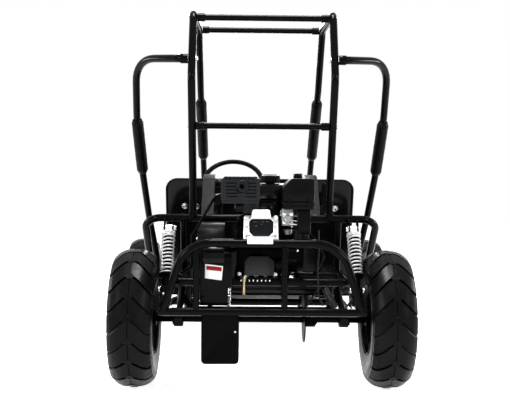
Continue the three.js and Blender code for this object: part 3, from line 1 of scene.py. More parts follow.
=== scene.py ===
"""Looks of an off road go kart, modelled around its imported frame.

Places are given in millimetres in the maker's frame: X to the kart's right, Y forward from the rear
axle and Z up. The helper `at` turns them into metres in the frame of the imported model.
"""
import logging
import math
from contextlib import contextmanager
from dataclasses import dataclass
from enum import Enum
from typing import Callable, Iterable, Iterator, Sequence

import bpy
from mathutils import Matrix, Vector


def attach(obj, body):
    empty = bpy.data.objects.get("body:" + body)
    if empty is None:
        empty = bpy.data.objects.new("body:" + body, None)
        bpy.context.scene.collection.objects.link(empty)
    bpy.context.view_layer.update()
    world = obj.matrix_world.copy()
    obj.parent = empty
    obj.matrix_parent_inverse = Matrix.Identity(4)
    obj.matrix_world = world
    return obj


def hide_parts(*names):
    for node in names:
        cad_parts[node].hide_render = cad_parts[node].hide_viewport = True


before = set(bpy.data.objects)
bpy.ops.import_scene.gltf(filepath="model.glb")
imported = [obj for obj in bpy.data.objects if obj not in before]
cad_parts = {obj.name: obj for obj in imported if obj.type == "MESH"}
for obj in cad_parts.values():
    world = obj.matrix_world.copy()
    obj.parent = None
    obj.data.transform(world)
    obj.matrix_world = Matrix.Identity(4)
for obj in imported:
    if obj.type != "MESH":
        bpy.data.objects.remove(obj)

log = logging.getLogger("kart")

Pair = tuple[float, float]
Point = tuple[float, float, float]
Colour = tuple[float, float, float]
Outline = Sequence[Pair]
Piece = bpy.types.Object
Tree = bpy.types.NodeTree
Socket = bpy.types.NodeSocket

MM = 0.001
AXLE_TO_MIDDLE = -638.261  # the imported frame's Y = 0 is this far from the rear axle
FULL_TURN = 2 * math.pi
SIDES = {"left": -1, "right": 1}
EAR_ROOM = 13.3  # half the room between the two ears that hold a shock's eye
EAR_WALL = 5
EAR_FACE = EAR_ROOM + EAR_WALL
RIGHT, LEFT = Vector((1, 0, 0)), Vector((-1, 0, 0))
AHEAD, BACK = Vector((0, 1, 0)), Vector((0, -1, 0))
UP = Vector((0, 0, 1))
WHITE = (1, 1, 1, 1)


# Places


def at(x: float, y: float, z: float) -> Vector:
    """A place in the maker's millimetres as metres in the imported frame."""
    return Vector((x, y + AXLE_TO_MIDDLE, z)) * MM


def run(points: Iterable[Point], side: int = 1) -> list[Vector]:
    """A list of places in metres, mirrored to the left where side is -1."""
    return [at(side * x, y, z) for x, y, z in points]


def rounded(points: Sequence[Vector], bend: float, steps: int = 8) -> list[Vector]:
    """Rounds the corners of a bent tube's centreline."""
    path = [points[0].copy()]
    for before, corner, after in zip(points, points[1:], points[2:]):
        into, out = (corner - before).normalized(), (after - corner).normalized()
        turn = into.angle(out)
        if turn < 0.01:
            path.append(corner.copy())
            continue
        reach = min((corner - before).length, (after - corner).length) / 2
        setback = min(bend * MM * math.tan(turn / 2), reach * 0.96)
        radius = setback / math.tan(turn / 2)
        inward = (out - into * out.dot(into)).normalized()
        start = corner - into * setback
        for k in range(steps + 1):
            angle = turn * k / steps
            path.append(start + into * radius * math.sin(angle) + inward * radius * (1 - math.cos(angle)))
    path.append(points[-1].copy())
    return path


# Modelling tools


def deselect_all() -> None:
    """Leaves edit mode and selects nothing."""
    if bpy.context.object and bpy.context.object.mode != "OBJECT":
        bpy.ops.object.mode_set(mode="OBJECT")
    bpy.ops.object.select_all(action="DESELECT")


def take(obj: Piece) -> Piece:
    """Makes obj the one selected and active object."""
    deselect_all()
    obj.select_set(True)
    bpy.context.view_layer.objects.active = obj
    return obj


@contextmanager
def editing(obj: Piece) -> Iterator[None]:
    """Edit mode with everything selected, for as long as the block lasts."""
    take(obj)
    bpy.ops.object.mode_set(mode="EDIT")
    bpy.ops.mesh.select_all(action="SELECT")
    yield
    bpy.ops.object.mode_set(mode="OBJECT")


def settle(name: str) -> Piece:
    """Names the active object and puts its place, turn and size into its mesh."""
    obj = take(bpy.context.object)
    obj.name = obj.data.name = name
    bpy.ops.object.transform_apply(location=True, rotation=True, scale=True)
    return obj


def apply_modifier(obj: Piece, kind: str, **settings: object) -> Piece:
    """Adds one modifier with the given settings and applies it."""
    take(obj)
    modifier = obj.modifiers.new(kind.lower(), kind)
    for key, value in settings.items():
        setattr(modifier, key, value)
    bpy.ops.object.modifier_apply(modifier=modifier.name)
    return obj


def smooth(obj: Piece, degrees: float = 32) -> Piece:
    """Shades obj smooth across edges that turn less than the given angle."""
    take(obj)
    bpy.ops.object.shade_smooth_by_angle(angle=math.radians(degrees))
    return obj


def soften(obj: Piece, width: float, segments: int = 2, degrees: float = 35) -> Piece:
    """Rounds obj's sharp edges."""
    apply_modifier(obj, "BEVEL", width=width * MM, segments=segments, limit_method="ANGLE",
                   angle_limit=math.radians(degrees), use_clamp_overlap=True, harden_normals=False)
    return smooth(obj)


def block(name: str, low: Point, high: Point, edge: float = 1.5) -> Piece:
    """A box between two corners, in millimetres, with rounded edges."""
    first, last = at(*low), at(*high)
    deselect_all()
    size = Vector(abs(b - a) for a, b in zip(first, last))
    bpy.ops.mesh.primitive_cube_add(size=1, location=(first + last) / 2, scale=size)
    obj = settle(name)
    return soften(obj, edge) if edge else obj


def rod(name: str, start: Vector, end: Vector, radius: float, sides: int = 24, edge: float = 0.0,
        tip: float | None = None) -> Piece:
    """A round bar or cone between two places."""
    span = end - start
    deselect_all()
    bpy.ops.mesh.primitive_cone_add(
        vertices=sides, radius1=radius * MM, radius2=(radius if tip is None else tip) * MM,
        depth=span.length,
        location=(start + end) / 2, rotation=span.to_track_quat("Z", "Y").to_euler())
    obj = settle(name)
    return soften(obj, edge) if edge else smooth(obj)


def rod_x(name: str, x0: float, x1: float, y: float, z: float, radius: float, sides: int = 24,
          edge: float = 0.0) -> Piece:
    """A round bar along X, in millimetres."""
    return rod(name, at(x0, y, z), at(x1, y, z), radius, sides, edge)


def line_tube(name: str, points: Sequence[Vector], radius: float, fineness: int = 4) -> Piece:
    """A tube along a fine line of points, closed at both ends."""
    curve = bpy.data.curves.new(name, "CURVE")
    curve.dimensions = "3D"
    spline = curve.splines.new("POLY")
    spline.points.add(len(points) - 1)
    for target, point in zip(spline.points, points):
        target.co = (*point, 1)
    curve.bevel_depth = radius * MM
    curve.bevel_resolution = fineness
    curve.use_fill_caps = True
    obj = bpy.data.objects.new(name, curve)
    bpy.context.scene.collection.objects.link(obj)
    take(obj)
    bpy.ops.object.convert(target="MESH")
    return smooth(settle(name), 50)


def tube(name: str, points: Sequence[Vector], radius: float = 14, bend: float = 60,
         fineness: int = 5) -> Piece:
    """A bent tube along corners that are rounded to the bend radius, in millimetres."""
    return line_tube(name, rounded(points, bend), radius, fineness)


def turned(name: str, centre: Vector, profile: Outline, heading: Vector,
           steps: int = 48, degrees: float = 32) -> Piece:
    """Spins a closed outline about an axis."""
    deselect_all()
    bpy.ops.mesh.primitive_circle_add(vertices=len(profile), radius=0.01)
    obj = bpy.context.object
    for vertex, (along, radius) in zip(obj.data.vertices, profile):
        vertex.co = (radius * MM, 0, along * MM)
    with editing(obj):
        bpy.ops.mesh.spin(steps=steps, angle=FULL_TURN, center=(0, 0, 0), axis=(0, 0, 1))
        bpy.ops.mesh.select_all(action="SELECT")
        bpy.ops.mesh.remove_doubles(threshold=1e-6)
        bpy.ops.mesh.normals_make_consistent(inside=False)
    obj.rotation_mode = "QUATERNION"
    obj.rotation_quaternion = heading.to_track_quat("Z", "Y")
    obj.location = centre
    settle(name)
    return smooth(obj, degrees)


def bush(name: str, centre: Vector, half: float, bore: float, radius: float, chamfer: Pair, heading: Vector,
         steps: int) -> Piece:
    """A ring with chamfered outer edges, its chamfer given as (along, across) in millimetres."""
    edge, low = half - chamfer[0], radius - chamfer[1]
    return turned(name, centre, [(-half, bore), (half, bore), (half, low), (edge, radius), (-edge, radius),
                                 (-half, low)], heading, steps)


def hoop(name: str, centre: Vector, heading: Vector, radius: float, thick: float, steps: int = 48) -> Piece:
    """A ring of round bar about an axis, in millimetres."""
    deselect_all()
    bpy.ops.mesh.primitive_torus_add(
        location=centre, rotation=heading.to_track_quat("Z", "Y").to_euler(), major_radius=radius * MM,
        minor_radius=thick * MM, major_segments=steps, minor_segments=12)
    return smooth(settle(name), 60)


def sheet_metal(name: str, outline: Outline, place: Callable[[float, float], Vector],
                depth: Vector, edge: float = 0.6, inset: Pair | None = None) -> Piece:
    """A flat plate of any outline, with rounded edges and, where asked, a pressed panel."""
    deselect_all()
    bpy.ops.mesh.primitive_circle_add(vertices=len(outline), radius=0.01, fill_type="NGON")
    obj = bpy.context.object
    for vertex, (u, v) in zip(obj.data.vertices, outline):
        vertex.co = place(u, v)
    with editing(obj):
        bpy.ops.mesh.extrude_region_move(TRANSFORM_OT_translate={"value": depth})
        bpy.ops.mesh.select_all(action="SELECT")
        bpy.ops.mesh.normals_make_consistent(inside=False)
    if inset:
        margin, press = inset
        heading = depth.normalized()
        for polygon in obj.data.polygons:
            polygon.select = polygon.normal.dot(heading) < -0.99 and len(polygon.vertices) == len(outline)
        bpy.ops.object.mode_set(mode="EDIT")
        bpy.ops.mesh.select_mode(type="FACE")
        bpy.ops.mesh.inset(thickness=margin * MM, depth=0)
        bpy.ops.mesh.inset(thickness=press * MM * 0.6, depth=-press * MM)
        bpy.ops.object.mode_set(mode="OBJECT")
    settle(name)
    return soften(obj, edge) if edge else smooth(obj)


def side_plate(name: str, outline: Outline, x: float, thick: float, edge: float,
               inset: Pair | None = None) -> Piece:
    """A plate with its outline in Y and Z, its left face at x."""
    return sheet_metal(name, outline, lambda y, z: at(x, y, z), RIGHT * (thick * MM), edge, inset)


def rear_plate(name: str, outline: Outline, y: float, thick: float, edge: float,
               inset: Pair | None = None) -> Piece:
    """A plate with its outline in X and Z, its rear face at y."""
    return sheet_metal(name, outline, lambda x, z: at(x, y, z), AHEAD * (thick * MM), edge, inset)


def weld(name: str, parts: Iterable[Piece]) -> Piece:
    """Joins parts into one piece of that name."""
    found = list(parts)
    deselect_all()
    for part in found:
        part.select_set(True)
    bpy.context.view_layer.objects.active = found[0]
    if len(found) > 1:
        bpy.ops.object.join()
    obj = bpy.context.object
    obj.name = obj.data.name = name
    return obj


def copy_of(obj: Piece, move: Matrix) -> Piece:
    """A copy of obj with a mesh of its own, moved by a matrix."""
    twin = obj.copy()
    twin.data = obj.data.copy()
    bpy.context.scene.collection.objects.link(twin)
    twin.data.transform(move)
    return twin


def around(centre: Vector, heading: Vector, angle: float) -> Matrix:
    """A turn by an angle about an axis through centre."""
    return Matrix.Translation(centre) @ Matrix.Rotation(angle, 4, heading) @ Matrix.Translation(-centre)


def softened_node(node: str, name: str, edge: float, segments: int = 2) -> Piece:
    """A merged copy of a rigid CAD node with rounded edges."""
    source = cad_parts[node]
    obj = bpy.data.objects.new(name, source.data.copy())
    bpy.context.scene.collection.objects.link(obj)
    obj.data.materials.clear()
    with editing(obj):
        bpy.ops.mesh.remove_doubles(threshold=2e-5)
        bpy.ops.mesh.dissolve_limited(angle_limit=math.radians(1))
    return soften(obj, edge, segments)


def cut_away(obj: Piece, tool: Piece) -> Piece:
    """Takes the tool's solid out of obj and removes the tool."""
    apply_modifier(obj, "BOOLEAN", operation="DIFFERENCE", object=tool, solver="EXACT")
    bpy.data.objects.remove(tool)
    return obj


def circle(count: int, first: float = 0.0, radius: float = 1.0) -> list[Pair]:
    """Evenly spaced places on a circle, the first at that angle in radians."""
    angles = [FULL_TURN * k / count + first for k in range(count)]
    return [(radius * math.cos(angle), radius * math.sin(angle)) for angle in angles]


def hex_bolt(name: str, foot: Vector, heading: Vector, size: float, height: float | None = None,
             washer: bool = True) -> Piece:
    """A hexagon bolt head or nut on its washer."""
    way = heading.normalized()
    tall = size * 0.75 if height is None else height
    thick = size * 0.16
    parts = [rod(name, foot + way * thick * MM, foot + way * (thick + tall) * MM, size, 6, size * 0.1)]
    if washer:
        parts.append(rod(name, foot, foot + way * thick * MM, size * 1.35, 20, size * 0.04))
    return weld(name, parts)


def dress(obj: Piece, finish: "Finish") -> Piece:
    """Gives obj one finish all over."""
    obj.data.materials.clear()
    obj.data.materials.append(finish.material())
    return obj


def hand_over(obj: Piece, body: str, slot: str, *nodes: str) -> Piece:
    """Sets a finished piece on its body and hides the CAD nodes it stands for."""
    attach(obj, body)
    if nodes:
        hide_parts(*nodes)
    log.info("%s on %s: %d faces", obj.name, body, len(obj.data.polygons))
    return obj


def assemble(name: str, parts: Iterable[Piece], finish: "Finish", body: str, slot: str, *nodes: str) -> Piece:
    """Joins parts into one piece, dresses it and hands it over."""
    return hand_over(dress(weld(name, parts), finish), body, slot, *nodes)


# Finishes


class Grain(Enum):
    """The fine relief of a surface."""

    ORANGE_PEEL = "orange peel of powder coat"
    CAST = "sand casting"
    MOULDED = "moulded plastic"
    RUBBER = "moulded rubber"
    BRUSHED = "brushed or rolled metal"
    WOVEN = "woven webbing"
    HIDE = "leather grain"


def add_node(tree: Tree, kind: str, links: dict[str, Socket], values: dict[str, object]) -> bpy.types.Node:
    """A new shader node with some inputs linked and others set."""
    node = tree.nodes.new(kind)
    for name, socket in links.items():
        tree.links.new(socket, node.inputs[name])
    for name, value in values.items():
        node.inputs[name].default_value = value
    return node


def noise(tree: Tree, place: Socket, scale: float, detail: float) -> Socket:
    """A noise on the given coordinates."""
    return add_node(tree, "ShaderNodeTexNoise", {"Vector": place},
                    {"Scale": scale, "Detail": detail}).outputs["Fac"]


def spread(tree: Tree, value: Socket, given: Pair, wanted: Pair) -> Socket:
    """Maps one range of values to another."""
    limits = {"From Min": given[0], "From Max": given[1], "To Min": wanted[0], "To Max": wanted[1]}
    return add_node(tree, "ShaderNodeMapRange", {"Value": value}, limits).outputs["Result"]


def combine(tree: Tree, operation: str, first: Socket, second: Socket, clamp: bool = False) -> Socket:
    """The sum or product of two values."""
    node = tree.nodes.new("ShaderNodeMath")
    node.operation, node.use_clamp = operation, clamp
    tree.links.new(first, node.inputs[0])
    tree.links.new(second, node.inputs[1])
    return node.outputs[0]


@dataclass(frozen=True)
class Finish:
    """One finish, as a paint shop would write it down."""

    name: str
    colour: Colour
    marks: Colour
    roughness: Pair
    grain: Grain
    grain_per_metre: float
    grain_depth: float
    metallic: float = 0.0
    coat: float = 0.0
    specular: float = 0.5
    marks_per_metre: float = 9.0
    marks_share: float = 0.35

    def material(self) -> bpy.types.Material:
        """The finish as a material, made once."""
        found = bpy.data.materials.get(f"kart_{self.name}")
        return found or self._make()

    def _make(self) -> bpy.types.Material:
        """Builds the node tree: marks in the colour, an uneven gloss and the grain's relief."""
        material = bpy.data.materials.new(f"kart_{self.name}")
        material.use_nodes = True
        tree = material.node_tree
        shader = tree.nodes["Principled BSDF"]
        for name, value in (("Metallic", self.metallic), ("Coat Weight", self.coat),
                            ("Coat Roughness", 0.12), ("Specular IOR Level", self.specular)):
            shader.inputs[name].default_value = value
        place = tree.nodes.new("ShaderNodeTexCoord").outputs["Object"]
        cloud = noise(tree, place, self.marks_per_metre, 7)
        mix = tree.nodes.new("ShaderNodeMix")
        mix.data_type = "RGBA"
        mix.inputs[6].default_value = (*self.colour, 1)
        mix.inputs[7].default_value = (*self.marks, 1)
        tree.links.new(spread(tree, cloud, (0.45, 0.75), (0.0, self.marks_share)), mix.inputs[0])
        smear = noise(tree, place, self.marks_per_metre * 4, 5)
        bump = add_node(tree, "ShaderNodeBump", {"Height": self.relief(tree, place)},
                        {"Strength": 1.0, "Distance": self.grain_depth * MM})
        for name, socket in (("Base Color", mix.outputs[2]), ("Normal", bump.outputs["Normal"]),
                             ("Roughness", spread(tree, smear, (0.3, 0.7), self.roughness))):
            tree.links.new(socket, shader.inputs[name])
        return material

    def relief(self, tree: Tree, place: Socket) -> Socket:
        """The height of this finish's grain."""
        scale = self.grain_per_metre
        if self.grain in (Grain.MOULDED, Grain.HIDE, Grain.CAST):
            cells = add_node(tree, "ShaderNodeTexVoronoi", {"Vector": place},
                             {"Scale": scale}).outputs["Distance"]
            if self.grain is not Grain.CAST:
                return cells
            return combine(tree, "ADD", cells, noise(tree, place, scale / 3, 4))
        if self.grain is Grain.WOVEN:
            threads = []
            for direction in ("X", "Z"):
                wave = add_node(tree, "ShaderNodeTexWave", {"Vector": place}, {"Scale": scale})
                wave.bands_direction = direction
                threads.append(wave.outputs["Fac"])
            return combine(tree, "MULTIPLY", *threads)
        if self.grain is Grain.BRUSHED:
            stretch = add_node(tree, "ShaderNodeMapping", {"Vector": place}, {"Scale": (0.06, 1.0, 1.0)})
            return noise(tree, stretch.outputs["Vector"], scale, 3)
        return noise(tree, place, scale, 2)


BLACK_COAT = Finish("black_powder_coat", (0.0016, 0.0016, 0.0018), (0.004, 0.004, 0.0045), (0.1, 0.17),
                    Grain.ORANGE_PEEL, 420, 0.008, specular=0.045)
CASE_BLACK = Finish("cast_black_paint", (0.0006, 0.0006, 0.0007), (0.0018, 0.0018, 0.002), (0.26, 0.4),
                    Grain.CAST, 520, 0.03, specular=0.015)
BLACK_RIM = Finish("black_rim_paint", (0.0025, 0.0025, 0.0028), (0.007, 0.007, 0.0068), (0.18, 0.3),
                   Grain.ORANGE_PEEL, 380, 0.012, specular=0.06)
TYRE_RUBBER = Finish("tyre_rubber", (0.0022, 0.0022, 0.0024), (0.006, 0.0058, 0.0055), (0.24, 0.36),
                     Grain.RUBBER, 520, 0.012, specular=0.06, marks_per_metre=14, marks_share=0.5)
BLACK_RUBBER = Finish("black_rubber", (0.0012, 0.0012, 0.0013), (0.003, 0.003, 0.003), (0.24, 0.36),
                      Grain.RUBBER, 700, 0.01, specular=0.025)
FOAM_COVER = Finish("foam_cover", (0.0022, 0.0022, 0.0024), (0.005, 0.005, 0.0055), (0.3, 0.42),
                    Grain.HIDE, 520, 0.02, specular=0.05)
SEAT_VINYL = Finish("seat_vinyl", (0.004, 0.004, 0.0044), (0.008, 0.008, 0.0085), (0.28, 0.4),
                    Grain.HIDE, 640, 0.02, specular=0.08)
SEAT_SHELL = Finish("seat_shell_plastic", (0.0022, 0.0022, 0.0024), (0.006, 0.006, 0.0062), (0.1, 0.17),
                    Grain.MOULDED, 900, 0.012, specular=0.12)
BLACK_PLASTIC = Finish("black_plastic", (0.003, 0.003, 0.0033), (0.007, 0.007, 0.0073), (0.2, 0.3),
                       Grain.MOULDED, 850, 0.015, specular=0.05)
GLOSS_TANK = Finish("gloss_black_tank", (0.002, 0.002, 0.0022), (0.0045, 0.0045, 0.0045), (0.1, 0.18),
                    Grain.ORANGE_PEEL, 300, 0.02, specular=0.1)
WEBBING = Finish("grey_webbing", (0.007, 0.0072, 0.0076), (0.014, 0.0145, 0.015), (0.4, 0.55),
                 Grain.WOVEN, 260, 0.08, specular=0.05)
MUFFLER_BLACK = Finish("heat_black", (0.016, 0.0168, 0.018), (0.03, 0.03, 0.0295), (0.3, 0.42),
                       Grain.CAST, 900, 0.015, specular=0.07)
CAST_GREY = Finish("cast_grey_paint", (0.005, 0.0053, 0.006), (0.012, 0.012, 0.0125), (0.28, 0.42),
                   Grain.CAST, 520, 0.03, specular=0.04)
CAST_ALUMINIUM = Finish("cast_aluminium", (0.80, 0.81, 0.82), (0.62, 0.63, 0.64), (0.26, 0.42),
                        Grain.CAST, 620, 0.12, metallic=0.85)
DULL_ALUMINIUM = Finish("dull_aluminium", (0.36, 0.365, 0.37), (0.2, 0.2, 0.205), (0.34, 0.52),
                        Grain.CAST, 620, 0.16, metallic=0.8)
BRIGHT_ZINC = Finish("bright_zinc", (0.74, 0.75, 0.76), (0.52, 0.52, 0.52), (0.16, 0.3),
                     Grain.BRUSHED, 420, 0.03, metallic=1.0)
GOLD_ZINC = Finish("yellow_zinc", (0.62, 0.50, 0.26), (0.42, 0.34, 0.2), (0.2, 0.36),
                   Grain.BRUSHED, 420, 0.03, metallic=1.0)
DARK_STEEL = Finish("dark_steel", (0.018, 0.0185, 0.02), (0.036, 0.035, 0.034), (0.26, 0.4),
                    Grain.BRUSHED, 300, 0.02, specular=0.12, metallic=0.7)
SPRING_WHITE = Finish("white_powder_coat", (0.80, 0.80, 0.79), (0.68, 0.68, 0.67), (0.2, 0.34),
                      Grain.ORANGE_PEEL, 500, 0.03, coat=0.4)
WHITE_PANEL = Finish("white_panel", (0.82, 0.82, 0.82), (0.72, 0.72, 0.72), (0.3, 0.42),
                     Grain.MOULDED, 900, 0.02)
RED_REFLECTOR = Finish("red_reflector", (0.24, 0.006, 0.008), (0.17, 0.005, 0.006), (0.14, 0.22),
                       Grain.MOULDED, 260, 0.05, specular=0.15)
FLOOR_PAN = Finish("floor_pan_coat", (0.004, 0.0035, 0.003), (0.022, 0.015, 0.01), (0.4, 0.6),
                   Grain.ORANGE_PEEL, 320, 0.05, specular=0.06, marks_share=0.7)


# Frame, cage and bumper


@dataclass
class Chassis:
    """The welded tube frame with its brackets, and the floor pan."""

    radius: float = 14
    thin: float = 11
    half_width: float = 385
    height: float = 155
    rear: float = 430
    seat_rear: float = 560
    seat_front: float = 850
    narrowing: float = 1130
    nose_half: float = 250
    nose_end: float = 1400
    nose_y: float = 1505
    nose_height: float = 190
    rail_half: float = 285
    rail_height: float = 380
    shock_x: float = 334
    shock_top: Pair = (105, 547)
    bar_y: float = 150
    bar_z: float = 581
    pivot: Pair = (215, 335)
    pivot_x: float = 290
    fork_face: float = 21.3
    fork_wall: float = 6
    kingpin_x: float = 455
    wheelbase: float = 1220

    def build(self) -> None:
        """Builds, dresses and hands over the frame, its bolts and the floor."""
        frame_piece = weld("frame_tubes", [*self.floor_tubes(), *self.rear_tubes(), *self.front_tubes(),
                                           *self.brackets(), *self.fillets()])
        hand_over(dress(frame_piece, BLACK_COAT), "chassis", "frame_paint", "main_frame")
        bolts = weld("frame_bolts", self.bolts())
        hand_over(dress(bolts, BRIGHT_ZINC), "chassis", "frame_paint")
        self.floor()

    def pair(self, build: Callable[[int], Piece]) -> list[Piece]:
        """Builds a piece on both sides."""
        return [build(-1), build(1)]

    def floor_tubes(self) -> list[Piece]:
        """The rails round the floor, the cross tubes and the side tubes."""
        parts = self.pair(lambda side: tube("rail", run([
            (self.half_width, self.rear, self.height), (self.half_width, self.seat_front, self.height),
            (self.nose_half, self.narrowing, self.height), (self.nose_half, self.nose_end, self.nose_height),
        ], side), self.radius, 180))
        for y, z, half in ((self.rear, self.height, self.half_width + self.radius),
                           (self.seat_rear, self.height, self.half_width),
                           (self.seat_front, self.height, self.half_width),
                           (self.nose_end, self.nose_height, self.nose_half + self.radius)):
            parts.append(tube("cross_tube", run([(-half, y, z), (half, y, z)]), self.radius))
        parts += self.pair(lambda side: tube("side_tube", run([
            (self.half_width, 550, self.height), (445, 600, 290), (445, 850, 290), (341.6, 940, self.height),
        ], side), self.thin))
        for x in (-200, 200):
            for y in (self.seat_rear, self.seat_front):
                parts.append(tube("seat_riser", run([(x, y, self.height), (x, y, 234.4)]), self.thin))
        return parts

    def rear_tubes(self) -> list[Piece]:
        """The raised rear rails, the shock bar and the engine's cradle."""
        parts = self.pair(lambda side: tube("rear_rail", run([
            (self.rail_half, self.rear, self.height), (self.rail_half, 405, self.rail_height),
            (self.rail_half, -56, self.rail_height), (303.2, -120, self.rail_height),
            (303.2, -167.7, self.rail_height),
        ], side), self.radius, 30))
        left = [(-385, 640, self.height), (-427, 480, 292), (-427, self.bar_y, self.bar_z)]
        right = [(-x, y, z) for x, y, z in reversed(left)]
        parts.append(tube("shock_bar", run([*left, *right]), self.radius, 62))
        parts += self.pair(lambda side: tube("shock_post", run([
            (self.rail_half, 185, self.rail_height), (self.rail_half, self.bar_y, self.bar_z)], side),
                                             self.thin))
        parts.append(tube("cradle_rear", run([(-self.rail_half, -80, 380), (self.rail_half, -80, 380)]),
                          self.radius))
        parts.append(tube("cradle_front", run([(-84, 96, 380), (self.rail_half, 96, 380)]), self.radius))
        return parts

    def front_tubes(self) -> list[Piece]:
        """The steering's hoop and strut, the front beam and the nose."""
        parts = [
            tube("steering_hoop", run([
                (-250, self.narrowing, self.height), (-250, 1072.3, 442.9), (250, 1072.3, 442.9),
                (250, self.narrowing, self.height)]), self.thin),
            tube("steering_strut", run([(-110, self.wheelbase, 190), (-110, 1213.9, 329)]), self.thin),
            tube("front_beam", run([(-self.kingpin_x, self.wheelbase, 190),
                                    (self.kingpin_x, self.wheelbase, 190)])),
            tube("nose_hoop", run([
                (-250, self.nose_end, 190), (-250, self.nose_y, 190), (-180, self.nose_y, 330),
                (180, self.nose_y, 330), (250, self.nose_y, 190), (250, self.nose_end, 190)])),
            tube("nose_cross", run([(-250, self.nose_y, 190), (250, self.nose_y, 190)]), self.thin),
        ]
        for x in (-self.kingpin_x, self.kingpin_x):
            parts.append(bush("kingpin_boss", at(x, self.wheelbase, 200), 28, 7.5, 16, (1.2, 1.2), UP, 32))
        lean = Vector((0, math.sqrt(0.5), -math.sqrt(0.5)))
        for reach in (323.4, 497.6):
            centre = at(-110, 862, 690) + lean * reach * MM
            parts.append(bush("steering_boss", centre, 18, 10.6, 18, (1.2, 1.2), lean, 32))
        for x in (-185, -60):
            parts.append(block("pedal_post", (x - 6, 1366, 190), (x + 6, 1400, 208)))
            parts.append(rod_x("pedal_pivot", x - 31, x + 31, 1372, 208, 6, 20, 0.8))
        return parts

    def brackets(self) -> list[Piece]:
        """Plates: shock ears, arm forks, engine plate, belt feet and cage saddles."""
        parts = [
            block("engine_plate", (-95, -91, 391), (130, 118, 397)),
            block("shelf", (-95, -91, 391), (-73, 235, 397)),
            block("hanger", (-95, 195, 352), (-89, 235, 392)),
        ]
        pivot_y, pivot_z = self.pivot
        for side in SIDES.values():
            for gap in (-EAR_FACE, EAR_ROOM):
                parts.append(self.ear(side * self.shock_x + gap, EAR_WALL))
            for gap in (-self.fork_face, self.fork_face - self.fork_wall):
                x = side * self.pivot_x + gap
                parts.append(block("arm_fork", (x, pivot_y - 20, pivot_z - 20),
                                   (x + self.fork_wall, pivot_y + 20, 380), 2))
            parts.append(block("fork_cap", (side * self.pivot_x - self.fork_face, 195, 366),
                               (side * self.pivot_x + self.fork_face, 235, 380)))
            parts.append(rod_x("arm_pin", side * self.pivot_x - 22, side * self.pivot_x + 22, pivot_y,
                               pivot_z, 8))
            parts.append(block("cage_saddle", (side * 250 - 14, 129, self.bar_z),
                               (side * 250 + 14, 171, 602), 3))
            parts.append(block("belt_foot", (side * 200 - 23, self.bar_y, 570), (side * 200 + 23, 212, 581)))
        return parts

    def ear(self, x: float, thick: float) -> Piece:
        """One ear of a shock's upper bracket."""
        outline = [(98, 534), (112, 534), (121, 540), (142, 568), (145, 578), (110, 581), (96, 562),
                   (92, 541)]
        return side_plate("shock_ear", outline, x, thick, 0.8)

    def fillets(self) -> list[Piece]:
        """Weld beads where tubes meet, each a thin ring at the joint."""
        beads = []
        for side in SIDES.values():
            for centre, heading, radius in (
                    (at(side * self.rail_half, self.bar_y + 2, self.bar_z - 15), Vector((0, 0.17, 1)),
                     self.thin),
                    (at(side * self.rail_half, 183, self.rail_height + 14), Vector((0, 0.17, 1)), self.thin),
                    (at(side * 250, self.nose_y, 204), Vector((0.3 * side, 0, -1)), self.radius),
                    (at(side * (self.rail_half - 15), -80, 380), RIGHT, self.radius),
                    (at(side * 436, self.wheelbase, 190), RIGHT, self.radius),
            ):
                beads.append(hoop("weld_bead", centre, heading, radius + 0.4, 1.6, 32))
        return beads

    def bolts(self) -> list[Piece]:
        """Bright bolts and nuts of the shocks' upper ends, the arm's pivots and the engine."""
        found = []
        for side in SIDES.values():
            x = side * self.shock_x
            found.append(rod_x("shock_bolt", x - 26, x + 26, *self.shock_top, 6))
            found.append(hex_bolt("shock_bolt_head", at(x - side * EAR_FACE, *self.shock_top),
                                  Vector((-side, 0, 0)), 9))
            found.append(hex_bolt("shock_bolt_nut", at(x + side * EAR_FACE, *self.shock_top),
                                  Vector((side, 0, 0)), 9))
            pivot = side * self.pivot_x
            for way in (-1, 1):
                found.append(hex_bolt("arm_nut", at(pivot + way * self.fork_face, *self.pivot),
                                      Vector((way, 0, 0)), 10))
        for x, y in ((-60, -84), (100, -84), (112, 100), (-60, 106)):
            found.append(hex_bolt("engine_bolt", at(x, y, 397), UP, 8))
        return found

    def floor(self) -> None:
        """The floor pan under the driver's feet: the sheet with swaged ribs, in place of the flat node."""
        half, nose = self.half_width - 2, self.nose_half - 2
        outline = [(-half, self.seat_front), (half, self.seat_front), (nose, self.narrowing),
                   (-nose, self.narrowing)]
        pan = sheet_metal("floor_sheet", outline, lambda x, y: at(x, y, 138.2), Vector((0, 0, 2.5 * MM)), 0.5)
        ribs = [block("floor_rib", (x - 5, self.seat_front + 50, 139.5), (x + 5, self.narrowing - 60, 142.5),
                      1.2)
                for x in (-180, -90, 0, 90, 180)]
        lip = block("rear_lip", (-half, self.seat_front - 1.5, 136.5), (half, self.seat_front + 1.5, 140.7),
                    0.5)
        assemble("floor_sheet", [pan, lip, *ribs], FLOOR_PAN, "chassis", "frame_paint", "floor_pan")


